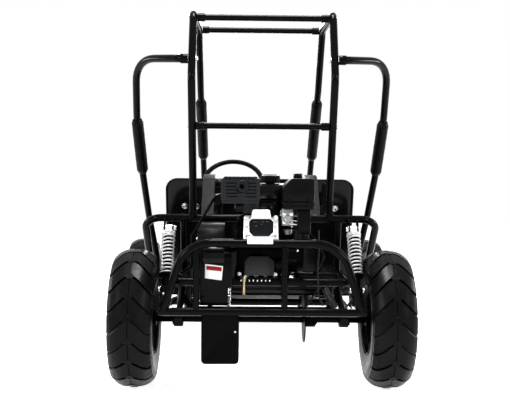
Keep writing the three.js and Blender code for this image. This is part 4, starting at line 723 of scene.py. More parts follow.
@dataclass
class RearBumper:
    """The hoop behind the engine with its beam, posts, guard tab and bolts."""

    y: float = -182
    half_width: float = 330
    top_half: float = 258
    beam_half: float = 345
    beam_z: float = 295
    top_z: float = 523
    corner: float = 120
    posts: tuple[float, ...] = (72, -219.3)

    def build(self) -> None:
        """Builds the bumper and its bright bolts."""
        tubes = [
            tube("hoop", run([(-self.half_width, self.y, self.beam_z), (-self.top_half, self.y, self.top_z),
                              (self.top_half, self.y, self.top_z), (self.half_width, self.y, self.beam_z)]),
                 14, self.corner, 6),
            tube("beam", run([(-self.beam_half, self.y, self.beam_z),
                              (self.beam_half, self.y, self.beam_z)]), 14),
            block("guard_tab", (-227.3, self.y, 428), (-211.3, self.y + 15, 484)),
        ]
        for x in self.posts:
            tubes.append(tube("post", run([(x, self.y, self.beam_z), (x, self.y, self.top_z)]), 11))
            tubes.append(hoop("bead", at(x, self.y, self.top_z - 14), UP, 11.4, 1.6, 32))
            tubes.append(hoop("bead", at(x, self.y, self.beam_z + 14), UP, 11.4, 1.6, 32))
        for side in SIDES.values():
            tubes.append(hoop("bead", at(side * (self.half_width - 4.4), self.y, self.beam_z + 14),
                              Vector((-0.3 * side, 0, 1)),
                              14.4, 1.6, 32))
        assemble("bumper_hoop", tubes, BLACK_COAT, "chassis", "frame_paint", "rear_bumper")
        bolts = [hex_bolt("bolt", at(x, self.y, self.beam_z + 13.4), UP, 7) for x in (-304, 302, 286)]
        assemble("bumper_bolts", bolts, BRIGHT_ZINC, "chassis", "frame_paint")


@dataclass
class RollCage:
    """Two side frames, three cross bars and the padded side bars."""

    half_width: float = 250
    foot_z: float = 602
    knee: Pair = (5, 1085)
    rear_y: float = 110
    front_y: float = 520
    top_z: float = 1318
    mid_z: float = 916
    bar_root_z: float = 1148
    radius: float = 14
    pillar: tuple[Pair, ...] = ((680, 1085), (1030, 755), (1370, 420), (1400, 204.3))

    def build(self) -> None:
        """Builds both sides, the bars between them, the pads and their bolts."""
        for name, side in SIDES.items():
            self.side_frame(name, side)
            self.side_bar(name, side)
        for name, y, z in (("rear_top", self.rear_y, self.top_z - 14.5),
                           ("front_top", self.front_y, self.top_z),
                           ("middle", self.upright_y(self.mid_z), self.mid_z)):
            self.cross_bar(name, y, z)

    def upright_y(self, z: float) -> float:
        """Where the rear upright stands at a height."""
        foot_top, knee_y, knee_z = self.foot_z + 50, *self.knee
        if z < knee_z:
            return 150 + (knee_y - 150) * (z - foot_top) / (knee_z - foot_top)
        return knee_y + (self.rear_y - knee_y) * (z - knee_z) / (self.top_z - knee_z)

    def side_frame(self, name: str, side: int) -> None:
        """One side: the upright, the roof rail and the long front pillar."""
        x = self.half_width
        path = [(x, 150, self.foot_z + 0.3), (x, 150, self.foot_z + 50), (x, *self.knee),
                (x, self.rear_y, self.top_z),
                (x, self.front_y, self.top_z), *((x, y, z) for y, z in self.pillar)]
        parts = [tube("cage_side", run(path, side), self.radius, 45, 6)]
        parts.append(hoop("bead", at(side * x, 150, self.foot_z + 2.5), UP, 14.2, 1.8, 32))
        assemble(f"cage_frame_{name}", parts, BLACK_COAT, "chassis", "frame_paint", f"cage_side_{name}")
        y = self.upright_y(self.mid_z)
        outer = Vector((side, 0, 0))
        studs = [hex_bolt("stud", at(side * (x + self.radius - 1), y, self.mid_z), outer, 7, 5),
                 hex_bolt("stud", at(side * (x + self.radius - 1), 124, 1309), outer, 7, 5),
                 hex_bolt("stud", at(side * (x - self.radius + 1), self.upright_y(self.bar_root_z),
                                     self.bar_root_z), -outer, 8, 6)]
        assemble(f"cage_bolt_{name}", studs, BRIGHT_ZINC, "chassis", "frame_paint")

    def cross_bar(self, name: str, y: float, z: float) -> None:
        """One bar between the sides, thicker at its sleeved ends."""
        half = self.half_width - self.radius - 0.3
        profile = [(-half, 0), (-half, 14.5), (26 - half, 14.5), (29 - half, 11), (half - 29, 11),
                   (half - 26, 14.5), (half, 14.5), (half, 0)]
        bar = turned(f"cage_cross_{name}", at(0, y, z), profile, RIGHT, 32, 25)
        hand_over(dress(bar, BLACK_COAT), "chassis", "frame_paint", f"cage_bar_{name}")

    def side_bar_path(self) -> list[Point]:
        """Corners of the side bar on the right."""
        root = (self.upright_y(self.bar_root_z), self.bar_root_z)
        return [(264.3, *root), (294, *root), (468, 215, 1166), (489, 420, 962), (479, 552, 728),
                (468, 690, 545), (445, 800, 361), (445, 800, 301.3)]

    def side_bar(self, name: str, side: int) -> None:
        """The bar beside the seat with its collar and foam pads."""
        path = run(self.side_bar_path(), side)
        heading = (path[1] - path[0]).normalized()
        parts = [tube("side_bar", path, self.radius, 195, 9),
                 rod("collar", path[0], path[0] + heading * 26 * MM, 17, 32, 1.2),
                 hoop("bead", path[-1] + Vector((0, 0, 2.5 * MM)), UP, 14.2, 1.8, 32)]
        assemble(f"side_tube_{name}", parts, BLACK_COAT, "chassis", "frame_paint", f"side_bar_{name}")
        top, low = path[3], path[4]
        inset = (low - top) * 0.05
        self.foam(f"side_{name}", top + inset, low - inset)
        pillar_top, pillar_low = run([(self.half_width, 680, 1085), (self.half_width, 1030, 755)], side)
        self.foam(f"pillar_{name}", pillar_top.lerp(pillar_low, 0.12), pillar_top.lerp(pillar_low, 0.86))

    def foam(self, name: str, start: Vector, end: Vector) -> None:
        """A sleeve of covered foam round a tube: full in the middle, drawn in at both ends."""
        span = end - start
        length = span.length / MM
        profile: list[Pair] = [(0, 14.4), (0, 17), (1.5, 18.6), (9, 20.5)]
        count = 26
        for i in range(count + 1):
            share = i / count
            ripple = 0.35 * math.sin(share * 43) * math.sin(share * 17)
            profile.append((13 + (length - 26) * share, 23.4 + ripple - 0.5 * (2 * share - 1) ** 4))
        profile += [(length - 9, 20.5), (length - 1.5, 18.6), (length, 17), (length, 14.4)]
        pad = turned(f"foam_pad_{name}", start, profile, span.normalized(), 40, 60)
        self.crease(pad, start, span)
        way = span.normalized()
        outwards = Vector((1 if start.x > 0 else -1, 0.35, 0))
        across = (outwards - way * outwards.dot(way)).normalized()
        seam = line_tube("seam", [start + way * s * MM + across * 23.3 * MM
                                  for s in (14, length * 0.3, length * 0.6, length - 14)], 0.9, 2)
        piece = weld(f"foam_pad_{name}", [pad, seam])
        hand_over(dress(piece, FOAM_COVER), "chassis", "foam", f"pad_{name}")

    def crease(self, pad: Piece, start: Vector, span: Vector) -> None:
        """Shallow lengthways folds in a pad's cover, deepest at its ends."""
        way = span.normalized()
        side_way = way.orthogonal().normalized()
        third = way.cross(side_way)
        for vertex in pad.data.vertices:
            reach = vertex.co - start
            share = reach.dot(way) / span.length
            out = reach - way * reach.dot(way)
            if out.length < 16 * MM:
                continue
            angle = math.atan2(out.dot(third), out.dot(side_way))
            depth = 0.5 * MM * (2 * abs(share - 0.5)) ** 3 * math.sin(angle * 9 + share * 5)
            vertex.co += out.normalized() * (depth - 0.2 * MM)


# Seat


@dataclass
class Seat:
    """The moulded shell, its two cushions, and what is bolted behind it."""

    half_width: float = 376
    back_top: Pair = (392, 722)
    back_low: Pair = (520, 262)
    wall: float = 14
    corner: float = 48
    base_front: float = 935
    base_z: float = 235
    back_thick: float = 74
    base_thick: float = 84
    margin: float = 14
    gap: float = 0.3
    voxel: float = 0.007
    swell: float = 0.010

    @property
    def lean(self) -> float:
        """How far the back leans, in radians."""
        return math.atan2(self.back_low[0] - self.back_top[0], self.back_top[1] - self.back_low[1])

    @property
    def length(self) -> float:
        """The back's length along its slope."""
        return math.hypot(self.back_low[0] - self.back_top[0], self.back_top[1] - self.back_low[1])

    def on_back(self, x: float, along: float, proud: float) -> Vector:
        """A place on the back panel."""
        y = self.back_low[0] - along * math.sin(self.lean) + proud * math.cos(self.lean)
        z = self.back_low[1] + along * math.cos(self.lean) + proud * math.sin(self.lean)
        return at(x, y, z)

    def back_normal(self) -> Vector:
        """The way the back's front face looks."""
        return Vector((0, math.cos(self.lean), math.sin(self.lean)))

    def back_plate(self, name: str, outline: Outline, proud: float, thick: float, edge: float,
                   inset: Pair | None = None) -> Piece:
        """A plate on the back: its rear face stands `proud` from the back's plane."""
        return sheet_metal(name, outline, lambda x, along: self.on_back(x, along, proud),
                           self.back_normal() * thick * MM, edge, inset)

    def outline(self, half: float, low: float, high: float, corner: float, foot: float) -> list[Pair]:
        """A panel's outline with rounded corners, from its foot upwards."""
        points = []
        for centre_x, centre_z, radius, first in (
                (half - foot, low + foot, foot, -90), (half - corner, high - corner, corner, 0),
                (corner - half, high - corner, corner, 90), (foot - half, low + foot, foot, 180),
        ):
            for k in range(9):
                angle = math.radians(first + 90 * k / 8)
                points.append((centre_x + radius * math.cos(angle), centre_z + radius * math.sin(angle)))
        return points

    def build(self) -> None:
        """Builds the shell, the fittings and the cushions."""
        self.shell()
        self.fittings()
        wide, face = self.half_width - self.margin, self.wall + self.gap
        tall = (self.length - self.base_thick - 2 * self.margin) / 2
        middle = self.on_back(0, self.length - self.margin - tall, face + self.back_thick / 2)
        upright = Matrix.Rotation(self.lean, 4, "X") @ Matrix.Rotation(math.radians(-90), 4, "X")
        back = self.cushion("seat_back_pad", wide, tall, self.back_thick, 3, middle, upright)
        hand_over(back, "chassis", "seat_vinyl", "seat_back_cushion")
        rear = self.back_low[0] + face
        middle = at(0, (self.base_front + rear) / 2, self.base_z + face + self.base_thick / 2)
        base = self.cushion("seat_base_pad", wide, (self.base_front - rear) / 2, self.base_thick, 2, middle,
                            Matrix.Rotation(math.pi, 4, "Z"))
        hand_over(base, "chassis", "seat_vinyl", "seat_base_cushion")

    def shell(self) -> None:
        """The back panel with its raised rim and pressed middle, and the base tray."""
        outline = self.outline(self.half_width, 0, self.length, self.corner, 14)
        back = self.back_plate("back_panel", outline, 0, self.wall, 4, (26, 7))
        tray = block("base_tray", (-self.half_width, self.back_low[0], self.base_z),
                     (self.half_width, self.base_front, self.base_z + self.wall), 4)
        knee = block("knee", (-self.half_width, self.back_low[0], self.base_z),
                     (self.half_width, self.back_low[0] + self.wall, self.back_low[1] + 14), 4)
        rim = line_tube("rim_bead", [self.on_back(x, z, 2.5) for x, z in
                                     self.outline(self.half_width - 6, 6, self.length - 6, self.corner - 4,
                                                  12)
                                     + [(self.half_width - 18, 6)]], 3.4, 3)
        ribs = [self.rib(x) for x in (-150, 0, 150)]
        assemble("seat_moulding", [back, tray, knee, rim, *ribs], SEAT_SHELL, "chassis",
                 "moulded_plastic", "seat_shell")

    def rib(self, x: float) -> Piece:
        """A stiffening rib in the pressed middle of the back."""
        return line_tube("rib", [self.on_back(x, z, 6.8) for z in (70, 200, 330, 400)], 4.5, 3)

    def fittings(self) -> None:
        """Bolts and straps behind the seat: a belt reel on the left and a plate on the right."""
        bolts = [hex_bolt("bolt", self.on_back(x, z, 0.4), -self.back_normal(), 9)
                 for x, z in ((-298, 360), (-251, 359), (262, 354), (300, 354))]
        bolts += [hex_bolt("bolt", self.on_back(x, z, -14), -self.back_normal(), 12)
                  for x, z in ((-213, 362), (220, 356))]
        assemble("seat_bolts", bolts, BRIGHT_ZINC, "chassis", "moulded_plastic")
        for name, side in SIDES.items():
            self.belt(name, side)

    def belt(self, name: str, side: int) -> None:
        """A shoulder belt: its strap over the seat back, its foot, and its reel or ring."""
        x = side * 200
        path = [at(x, 176, 583.5), at(x, 210, 583.8), at(x, 344, 717.5), at(x, 390, 731.5),
                at(x, 408, 731.5), at(x, 420, 734.5)]
        strap = self.strap(f"belt_strap_{name}", path, 46, 2.6)
        hand_over(dress(strap, WEBBING), "chassis", "webbing", f"belt_{name}")
        foot = [hex_bolt("bolt", at(x, 186, 585.3), UP, 9)]
        assemble(f"belt_bolt_{name}", foot, BRIGHT_ZINC, "chassis", "webbing")
        if side < 0:
            self.reel()
        else:
            self.ring_plate()

    def strap(self, name: str, path: Sequence[Vector], width: float, thick: float) -> Piece:
        """Flat webbing along a line in the YZ plane, with two rows of stitching across it."""
        line = rounded(path, 22, 6)
        deselect_all()
        bpy.ops.mesh.primitive_grid_add(x_subdivisions=6, y_subdivisions=len(line) - 1, size=1)
        obj = bpy.context.object
        rows: dict[float, list[bpy.types.MeshVertex]] = {}
        for vertex in obj.data.vertices:
            rows.setdefault(round(vertex.co.y, 5), []).append(vertex)
        for (_, row), place in zip(sorted(rows.items()), line):
            for vertex in row:
                share = vertex.co.x * 2
                vertex.co = place + Vector((share * width / 2 * MM, 0, 0.5 * MM * (1 - share ** 4)))
        settle(name)
        apply_modifier(obj, "SOLIDIFY", thickness=thick * MM, offset=0)
        stitches = []
        for share in (0.24, 0.32):
            index = int(share * (len(line) - 1))
            place = line[index]
            stitches.append(block("stitching", (0, 0, 0), (width - 8, 1.4, 1.2), 0.3))
            stitches[-1].data.transform(Matrix.Translation(place - at((width - 8) / 2, 0, -1.2)))
        return smooth(weld(name, [obj, *stitches]), 40)

    def reel(self) -> None:
        """The belt reel on the left: a ribbed dome on a grey housing."""
        parts = []
        for k in range(7):
            x = -219 + 11 * k
            radius = 22 - 0.9 * (k - 3) ** 2
            parts.append(rod("dome", self.on_back(x - 4.9, 462, -24), self.on_back(x + 4.9, 462, -24),
                             radius, 28, 2))
        parts.append(rod("core", self.on_back(-222, 462, -24), self.on_back(-150, 462, -24), 15, 24))
        dome = weld("belt_reel_cover", parts)
        hand_over(dress(dome, BLACK_PLASTIC), "chassis", "moulded_plastic")
        outline = [(-224, 385), (-213, 372), (-160, 372), (-150, 385), (-153, 452), (-218, 452)]
        body = self.back_plate("belt_reel_body", outline, -26, 26, 3)
        tongue = self.back_plate("tongue", [(-200, 340), (-172, 340), (-168, 376), (-204, 376)], -14, 14, 1.5)
        assemble("belt_reel_body", [body, tongue], CAST_GREY, "chassis", "cast_grey")

    def ring_plate(self) -> None:
        """The grey strap and ring plate on the right."""
        strap = self.back_plate("plate_strap", [(246, 372), (276, 372), (268, 452), (250, 456)], -8, 4, 1)
        ring = turned("ring_plate", self.on_back(262, 346, -9),
                      [(-3, 11), (3, 11), (3, 27), (1.5, 29), (-1.5, 29), (-3, 27)], self.back_normal(), 40)
        spacer = rod("spacer", self.on_back(262, 346, -14), self.on_back(262, 346, 7), 10, 24)
        spacer_top = rod("spacer", self.on_back(262, 430, -6), self.on_back(262, 430, 2), 10, 24)
        assemble("ring_plate", [strap, ring, spacer, spacer_top], CAST_GREY, "chassis", "cast_grey")

    def cushion(self, name: str, half_width: float, half_length: float, thick: float, channels: int,
                centre: Vector, turn: Matrix) -> Piece:
        """A stuffed cushion: a box swollen by a cloth simulation, then sewn."""
        deselect_all()
        slack = 7
        size = Vector((2 * (half_width - slack), 2 * (half_length - slack), thick - 2 * slack)) * MM
        bpy.ops.mesh.primitive_cube_add(size=1, scale=size)
        obj = settle(name)
        apply_modifier(obj, "BEVEL", width=0.02, segments=4)
        apply_modifier(obj, "REMESH", mode="VOXEL", voxel_size=self.voxel)
        self.inflate(obj)
        self.sew(obj, half_width, half_length, thick, channels)
        obj.data.transform(Matrix.Translation(centre) @ turn)
        take(obj)
        bpy.ops.object.shade_smooth()
        return dress(obj, SEAT_VINYL)

    def inflate(self, obj: Piece) -> None:
        """Swells a closed mesh with cloth pressure, caps how far each point moves, and subdivides it."""
        rest = [vertex.co.copy() for vertex in obj.data.vertices]
        take(obj)
        cloth = obj.modifiers.new("cloth", "CLOTH")
        cloth.settings.use_pressure = True
        cloth.settings.uniform_pressure_force = 4
        cloth.settings.effector_weights.gravity = 0
        cloth.settings.quality = 4
        cloth.collision_settings.use_collision = False
        cloth.collision_settings.use_self_collision = False
        for step in range(1, 21):
            bpy.context.scene.frame_set(step)
        bpy.ops.object.modifier_apply(modifier=cloth.name)
        bpy.context.scene.frame_set(1)
        for vertex, before in zip(obj.data.vertices, rest):
            moved = vertex.co - before
            if moved.length > self.swell:
                vertex.co = before + moved.normalized() * self.swell
        apply_modifier(obj, "SUBSURF", levels=1, render_levels=1)

    def sew(self, obj: Piece, half_width: float, half_length: float, thick: float, channels: int) -> None:
        """Crowns the face, draws the sides in, and presses the channels and the border seam."""
        low = -thick / 2 * MM
        for vertex in obj.data.vertices:
            u, v = vertex.co.x / (half_width * MM), vertex.co.y / (half_length * MM)
            upper = max(0.0, min(1.0, (vertex.co.z - low) / (thick * MM)))
            crown = 7 * MM * (1 - u ** 4) * (1 - v ** 4) - 7 * MM
            groove = 0.0
            for k in range(1, channels + 1):
                place = 2 * k / (channels + 1) - 1
                groove += math.exp(-((v - place) * half_length / 6) ** 2)
            border = math.exp(-((max(abs(u) * half_width, abs(v) * half_length + half_width - half_length)
                                 - (half_width - 30)) / 4) ** 2)
            wrinkle = 0.7 * math.sin(u * 31 + math.sin(v * 9) * 2) * math.exp(-abs(abs(v) - 0.9) * 7)
            if upper > 0.55:
                share = (upper - 0.55) / 0.45
                vertex.co.z += share * (crown - (8 * groove + 4 * border + wrinkle) * MM)
            vertex.co.z = max(vertex.co.z, low)
            vertex.co.x -= u * 9 * MM * (1 - v * v) * abs(u) ** 5 * (1 if upper > 0.2 else 0.4)
            vertex.co.y -= v * 9 * MM * (1 - u * u) * abs(v) ** 5 * (1 if upper > 0.2 else 0.4)


# Engine


@dataclass
class Engine:
    """The single cylinder engine with its tank, muffler, air cleaner and controls."""

    tilt: float = 26
    crank_z: float = 490
    head: Pair = (-130, 566)
    cap: Pair = (28, 36)
    muffler: tuple[float, float, float, float] = (-138, -14, 652, 740)
    cleaner: tuple[float, float, float, float] = (64, 170, 634, 737)

    def build(self) -> None:
        """Builds every visible piece of the engine."""
        self.block()
        self.head_cover()
        self.muffler_box()
        self.fuel_tank()
        self.filler_cap()
        self.air_box()
        self.fuel_system()
        self.controls()
        self.starter()

    def on_head(self, x: float, out: float, up: float) -> Vector:
        """A place on the tilted cylinder head."""
        lean = math.radians(self.tilt)
        y = self.head[0] - out * math.cos(lean) + up * math.sin(lean)
        z = self.head[1] + out * math.sin(lean) + up * math.cos(lean)
        return at(x, y, z)

    def head_way(self) -> Vector:
        """The way out of the cylinder head."""
        lean = math.radians(self.tilt)
        return Vector((0, -math.cos(lean), math.sin(lean)))

    def block(self) -> None:
        """Crankcase and cylinder with extra fins, a side cover's bolts and an oil filler."""
        case = softened_node("engine_block", "crankcase", 2.5)
        fins = [self.head_block("fin", (-74, 60), (out - 1.4, out + 1.4), (-52, 52), 1.2)
                for out in range(-18, -55, -12)]
        ribs = [block("case_rib", (x, 108, 410), (x + 4, 114, 560), 1.2) for x in (-70, -35, 0, 35, 70)]
        filler = [rod("oil_filler", at(60, -68, 432), at(60, -88, 440), 13, 24, 1.5),
                  rod("oil_filler", at(60, -88, 440), at(60, -96, 443), 16, 12, 2)]
        drain = hex_bolt("drain", at(20, -70, 415), BACK, 9)
        assemble("crankcase", [case, *fins, *ribs, drain], CASE_BLACK, "chassis", "cast_grey", "engine_block")
        assemble("oil_filler_cap", filler, BLACK_PLASTIC, "chassis", "moulded_plastic")
        studs = [hex_bolt("case_bolt", at(x, -70, 404), BACK, 6) for x in (-78, -50, -20, 12, 44, 74)]
        studs += [rod("stud", at(x, -93, 384), at(x, -93, 390), 2.8, 12, 0.6) for x in range(-72, 27, 14)]
        assemble("case_bolts", studs, BRIGHT_ZINC, "chassis", "cast_aluminium")

    def head_block(self, name: str, x: Pair, out: Pair, up: Pair, edge: float) -> Piece:
        """A box that lies square to the tilted head."""
        made = block(name, (x[0], -out[1], up[0]), (x[1], -out[0], up[1]), edge)
        lean = Matrix.Rotation(math.radians(-self.tilt), 4, "X")
        back = Matrix.Translation(-at(0, 0, 0))
        made.data.transform(Matrix.Translation(at(0, *self.head)) @ lean @ back)
        return made

    def head_plate(self, name: str, outline: Outline, out: float, thick: float,
                   edge: float, inset: Pair | None = None) -> Piece:
        """A plate on the head's face: its outer face stands `out` from the head."""
        return sheet_metal(name, outline, lambda x, up: self.on_head(x, out, up),
                           -self.head_way() * thick * MM, edge, inset)

    def head_cover(self) -> None:
        """The bright valve cover: base, ribbed dome, dark panel, white field and lower tongue."""
        middle = -7
        base = [(-58, -44), (-46, -54), (46, -54), (58, -44), (58, 28), (42, 44), (-42, 44), (-58, 28)]
        dome = [(-43, -40), (-29, -50), (29, -50), (43, -40), (43, 8), (34, 17), (29, 49), (-29, 49),
                (-34, 17), (-43, 8)]
        moved = [[(x + middle, z) for x, z in outline] for outline in (base, dome)]
        parts = [self.head_plate("cover_base", moved[0], 14, 13.4, 2.5),
                 self.head_plate("cover_dome", moved[1], 54, 42, 4)]
        parts.append(block("cover_lip", (-53, -204.5, 523), (32, -197.5, 548), 2.4))
        for x in (-50, 50):
            for up in (-30, 2):
                parts.append(self.head_block("cover_rib", (x + middle - 3, x + middle + 3), (10, 34),
                                             (up - 4, up + 4), 1.5))
        for x, up in ((-50, -44), (50, -44), (-48, 34), (48, 34)):
            parts.append(hex_bolt("cover_bolt", self.on_head(x + middle, 14, up), self.head_way(), 7))
        assemble("rocker_cover", parts, CAST_ALUMINIUM, "chassis", "cast_aluminium", "valve_cover")
        panel = [(-25, -46), (25, -46), (40, -32), (40, 4), (32, 13), (-32, 13), (-40, 4), (-40, -32)]
        dark = self.head_plate("cover_panel", [(x + middle, z) for x, z in panel], 57.5, 4, 1.2, (3, 0.8))
        slots = weld("slots",
                     [self.head_block("slot", (middle + x, middle + x + wide), (54, 60), (up, up + 2.4), 0)
                      for x, up, wide in ((-26, 3, 13), (-7, 3, 5), (2, 3, 9), (16, 3, 8), (-1, -6, 5),
                                          (-21, -12, 8))])
        hand_over(dress(cut_away(dark, slots), CAST_GREY), "chassis", "cast_grey")
        field_outline = [(-30.5, 15), (30.5, 15), (25.5, 44), (22, 47.5), (-22, 47.5), (-25.5, 44)]
        bright = self.head_plate("cover_field", [(x + middle, z) for x, z in field_outline], 56.5, 3, 1)
        hand_over(dress(bright, WHITE_PANEL), "chassis", "cast_aluminium")

    def muffler_box(self) -> None:
        """The muffler's body and its slotted heat shield with the outlet."""
        left, right, bottom, top = self.muffler
        body = softened_node("muffler", "muffler_body", 2)
        hand_over(dress(body, MUFFLER_BLACK), "chassis", "heat_black", "muffler")
        outline = [(left - 3, bottom + 12), (right + 3, bottom + 12), (right + 3, top - 10),
                   (right - 9, top + 2), (left + 9, top + 2), (left - 3, top - 10)]
        shield = rear_plate("heat_shield", outline, -158, 2.2, 0.8)
        middle, height = (left + right) / 2 + 6, bottom + (top - bottom) * 0.66
        tools = []
        for k in range(9):
            x = left + 12 + 12.6 * k
            tools.append(block("slot", (x, -170, top - 8), (x + 6, -150, top - 3), 0))
        for row in range(5):
            z = height + 10 - 11.2 * row
            reach = 20 if row < 3 else 12
            for low, high in ((left + 14, middle - reach - (0 if row < 3 else 4)),
                              (middle + reach, right - 10)):
                tools.append(block("slot", (low, -170, z - 2.1), (high, -150, z + 2.1), 0))
        tools.append(rod("slot", at(middle, -170, height), at(middle, -150, height), 16, 32))
        shield = cut_away(shield, weld("slots", tools))
        sides = [block("shield_side", (left - 3, -157, bottom + 14), (left - 1, -120, top - 12), 0.5),
                 block("shield_side", (right + 1, -157, bottom + 14), (right + 3, -120, top - 12), 0.5),
                 block("shield_top", (left + 10, -157, top), (right - 10, -120, top + 2), 0.5)]
        ring = turned("outlet_ring", at(middle, -159, height),
                      [(-1, 13), (3, 13), (3, 18.5), (1.5, 20), (-1, 20)], BACK, 40)
        pipe = turned("outlet_pipe", at(middle, -150, height), [(0, 9), (14, 9), (14, 11.5), (0, 11.5)],
                      BACK, 32)
        screws = [hex_bolt("screw", at(x, -158.4, z), BACK, 3.4)
                  for x, z in ((left + 26, height + 18), (middle + 18, height - 16))]
        assemble("heat_shield", [shield, *sides, ring, pipe, *screws], MUFFLER_BLACK, "chassis",
                 "heat_black")

    def fuel_tank(self) -> None:
        """The pressed steel tank with its rounded halves, seam flange, feet and filler neck."""
        parts = [block("half", (-104 + inset, -32 + inset, low), (118 - inset, 128 - inset, high + 1), 15)
                 for low, high, inset in ((612, 655, 6), (655, 712, 0))]
        flange = block("seam_flange", (-104, -32, 653.4), (118, 128, 656.6), 1.4)
        feet = block("feet", (-52, -8, 590.6), (59, 64, 616), 2)
        neck = turned("filler_neck", at(*self.cap, 708), [(0, 18), (9, 18), (9, 16), (6, 14), (0, 14)],
                      UP, 36)
        assemble("fuel_tank_body", [*parts, flange, feet, neck], GLOSS_TANK, "chassis", "gloss_black",
                 "fuel_tank")

    def filler_cap(self) -> None:
        """The fluted filler cap."""
        x, y = self.cap
        base = 717.3
        cap = turned("filler_cap", at(x, y, base),
                     [(0, 0), (0, 33), (4, 35), (20, 35), (24.5, 32.5), (26, 28), (26, 0)], UP, 96, 25)
        for vertex in cap.data.vertices:
            reach = vertex.co - at(x, y, base)
            flat = Vector((reach.x, reach.y, 0))
            if flat.length > 30 * MM and reach.z > 2 * MM:
                angle = math.atan2(reach.y, reach.x)
                vertex.co -= flat.normalized() * 1.6 * MM * max(0.0, math.cos(angle * 24)) ** 2
        grip = block("grip", (x - 24, y - 4, base + 25), (x + 24, y + 4, base + 28.5), 1.6)
        assemble("filler_cap", [cap, grip], BLACK_PLASTIC, "fuel_cap", "moulded_plastic", "fuel_cap")

    def air_box(self) -> None:
        """The air cleaner: chamfered cover, a lower band whose lighter grey is a painted highlight along the
        cover's lower edge, fluted knob and clips.
        """
        left, right, bottom, top = self.cleaner
        outline = [(left, bottom + 26), (right, bottom + 26), (right, top), (left + 30, top),
                   (left, top - 30)]
        cover = rear_plate("cleaner_cover", outline, -160, 120, 5)
        # The band's lighter grey is a painted highlight: it stands for the light along the cover's lower
        # edge.
        band = block("cleaner_highlight_band", (left - 1, -162, bottom + 13), (right + 1, -38, bottom + 24), 3)
        base = block("cleaner_base", (left + 2, -158, bottom), (right - 2, -42, bottom + 14), 4)
        knob = rod("knob", at(117, -100, top - 2), at(117, -100, top + 16), 15, 12, 2.5)
        stem = rod("knob_stem", at(117, -100, top - 4), at(117, -100, top + 2), 19, 32, 1)
        clips = [block("clip", (x - 5, -164, bottom + 8), (x + 5, -160, bottom + 34), 1.5) for x in (84, 150)]
        assemble("cleaner_cover", [cover, knob, stem, *clips], BLACK_PLASTIC, "chassis",
                 "moulded_plastic", "air_cleaner")
        # Cast grey on the band is painted highlight; on the base below it, it is the part's own grey.
        assemble("cleaner_base", [band, base], CAST_GREY, "chassis", "moulded_plastic")

    def fuel_system(self) -> None:
        """The carburettor with its bowl, linkages and spring, and the cooling duct beside it."""
        body = weld("body", [block("body", (64, -102, 575), (100, -72, 633.5), 3),
                             block("flange", (60, -76, 584), (104, -68, 626), 2)])
        bowl = turned("bowl", at(84, -86, 545), [(0, 0), (0, 12), (3, 16), (16, 17), (16, 0)], UP, 36)
        screws = [hex_bolt("screw", at(x, -104.4, z), BACK, 5)
                  for x, z in ((72, 616), (96, 616), (72, 588), (96, 584))]
        boss = [rod("boss", at(84, -104, 600), at(84, -113, 600), 11, 24, 1.5),
                rod("idle_screw", at(98, -104, 572), at(98, -118, 574), 3.5, 12, 0.5)]
        assemble("carburettor_casting", [body, bowl, *boss], DULL_ALUMINIUM, "chassis",
                 "cast_aluminium", "carburettor")
        intake = [block("intake", (116, -136, 548), (160, -94, 633.5), 5),
                  rod("intake", at(137, -116, 510), at(137, -116, 550), 20, 32, 3)]
        assemble("intake_elbow", intake, BLACK_PLASTIC, "chassis", "moulded_plastic")
        rods = [tube("link", run([(70, -110, 606), (88, -118, 596), (124, -116, 592)]), 1.6, 6, 2),
                tube("link", run([(72, -112, 588), (96, -120, 582), (126, -118, 580)]), 1.6, 6, 2),
                tube("link", run([(60, -108, 612), (74, -116, 604), (78, -116, 586)]), 1.4, 5, 2)]
        coil = [at(64 + 34 * k / 90, -112 + 3.2 * math.sin(k * 0.9),
                   598 + 3.2 * math.cos(k * 0.9) - 9 * k / 90)
                for k in range(91)]
        rods.append(line_tube("governor_spring", coil, 0.7, 1))
        assemble("throttle_links", [*screws, *rods], BRIGHT_ZINC, "chassis", "cast_aluminium")
        duct = turned("cooling_duct", at(117, -128, 512),
                      [(0, 20), (42, 13), (52, 13), (52, 10), (42, 10), (0, 17)], Vector((0, 0.12, 1)), 40)
        hand_over(dress(duct, CAST_GREY), "chassis", "cast_aluminium")

    def controls(self) -> None:
        """Spark plug and lead, throttle cable, rods, switch box and small brackets."""
        plug = [rod("plug_cap", self.on_head(30, 8, 42), self.on_head(30, 44, 62), 8, 20, 2),
                tube("plug_lead", [self.on_head(30, 42, 60), self.on_head(38, 56, 74), at(44, -100, 640),
                                   at(40, -40, 606)], 3.4, 26, 3)]
        assemble("spark_lead", plug, BLACK_RUBBER, "chassis", "black_rubber")
        cable = tube("throttle_cable",
                     run([(126, -104, 584), (150, -116, 560), (186, -104, 520), (214, -60, 470),
                          (206, 10, 420), (196, 80, 397)]), 3, 50, 3)
        second = tube("brake_line", run([(190, 86, 394), (214, 20, 392), (196, -30, 360), (180, 40, 300),
                                         (166, 96, 270)]), 3, 34, 3)
        assemble("control_cables", [cable, second], BLACK_RUBBER, "chassis", "black_rubber")
        lead = tube("brake_cable",
                    run([(190, -96, 560), (188, -140, 500), (184, -150, 430), (187, -152, 345),
                         (204, -158, 312)]), 2.6, 40, 3)
        hand_over(dress(lead, MUFFLER_BLACK), "chassis", "black_rubber")
        strut = [rod("strut", at(211, -134, 366), at(242, -166, 308), 10.5, 32, 1.5),
                 rod("strut_band", at(219, -142.3, 351), at(223, -146.4, 343.5), 12, 32, 1),
                 rod("strut_band", at(230, -153.6, 330.5), at(234, -157.8, 323), 12, 32, 1)]
        assemble("cable_stay", strut, DARK_STEEL, "chassis", "heat_black")
        box = [block("switch_box", (96, -70, 480), (128, -50, 520), 2.5),
               rod("switch", at(112, -70, 500), at(112, -78, 500), 9, 24, 1.2)]
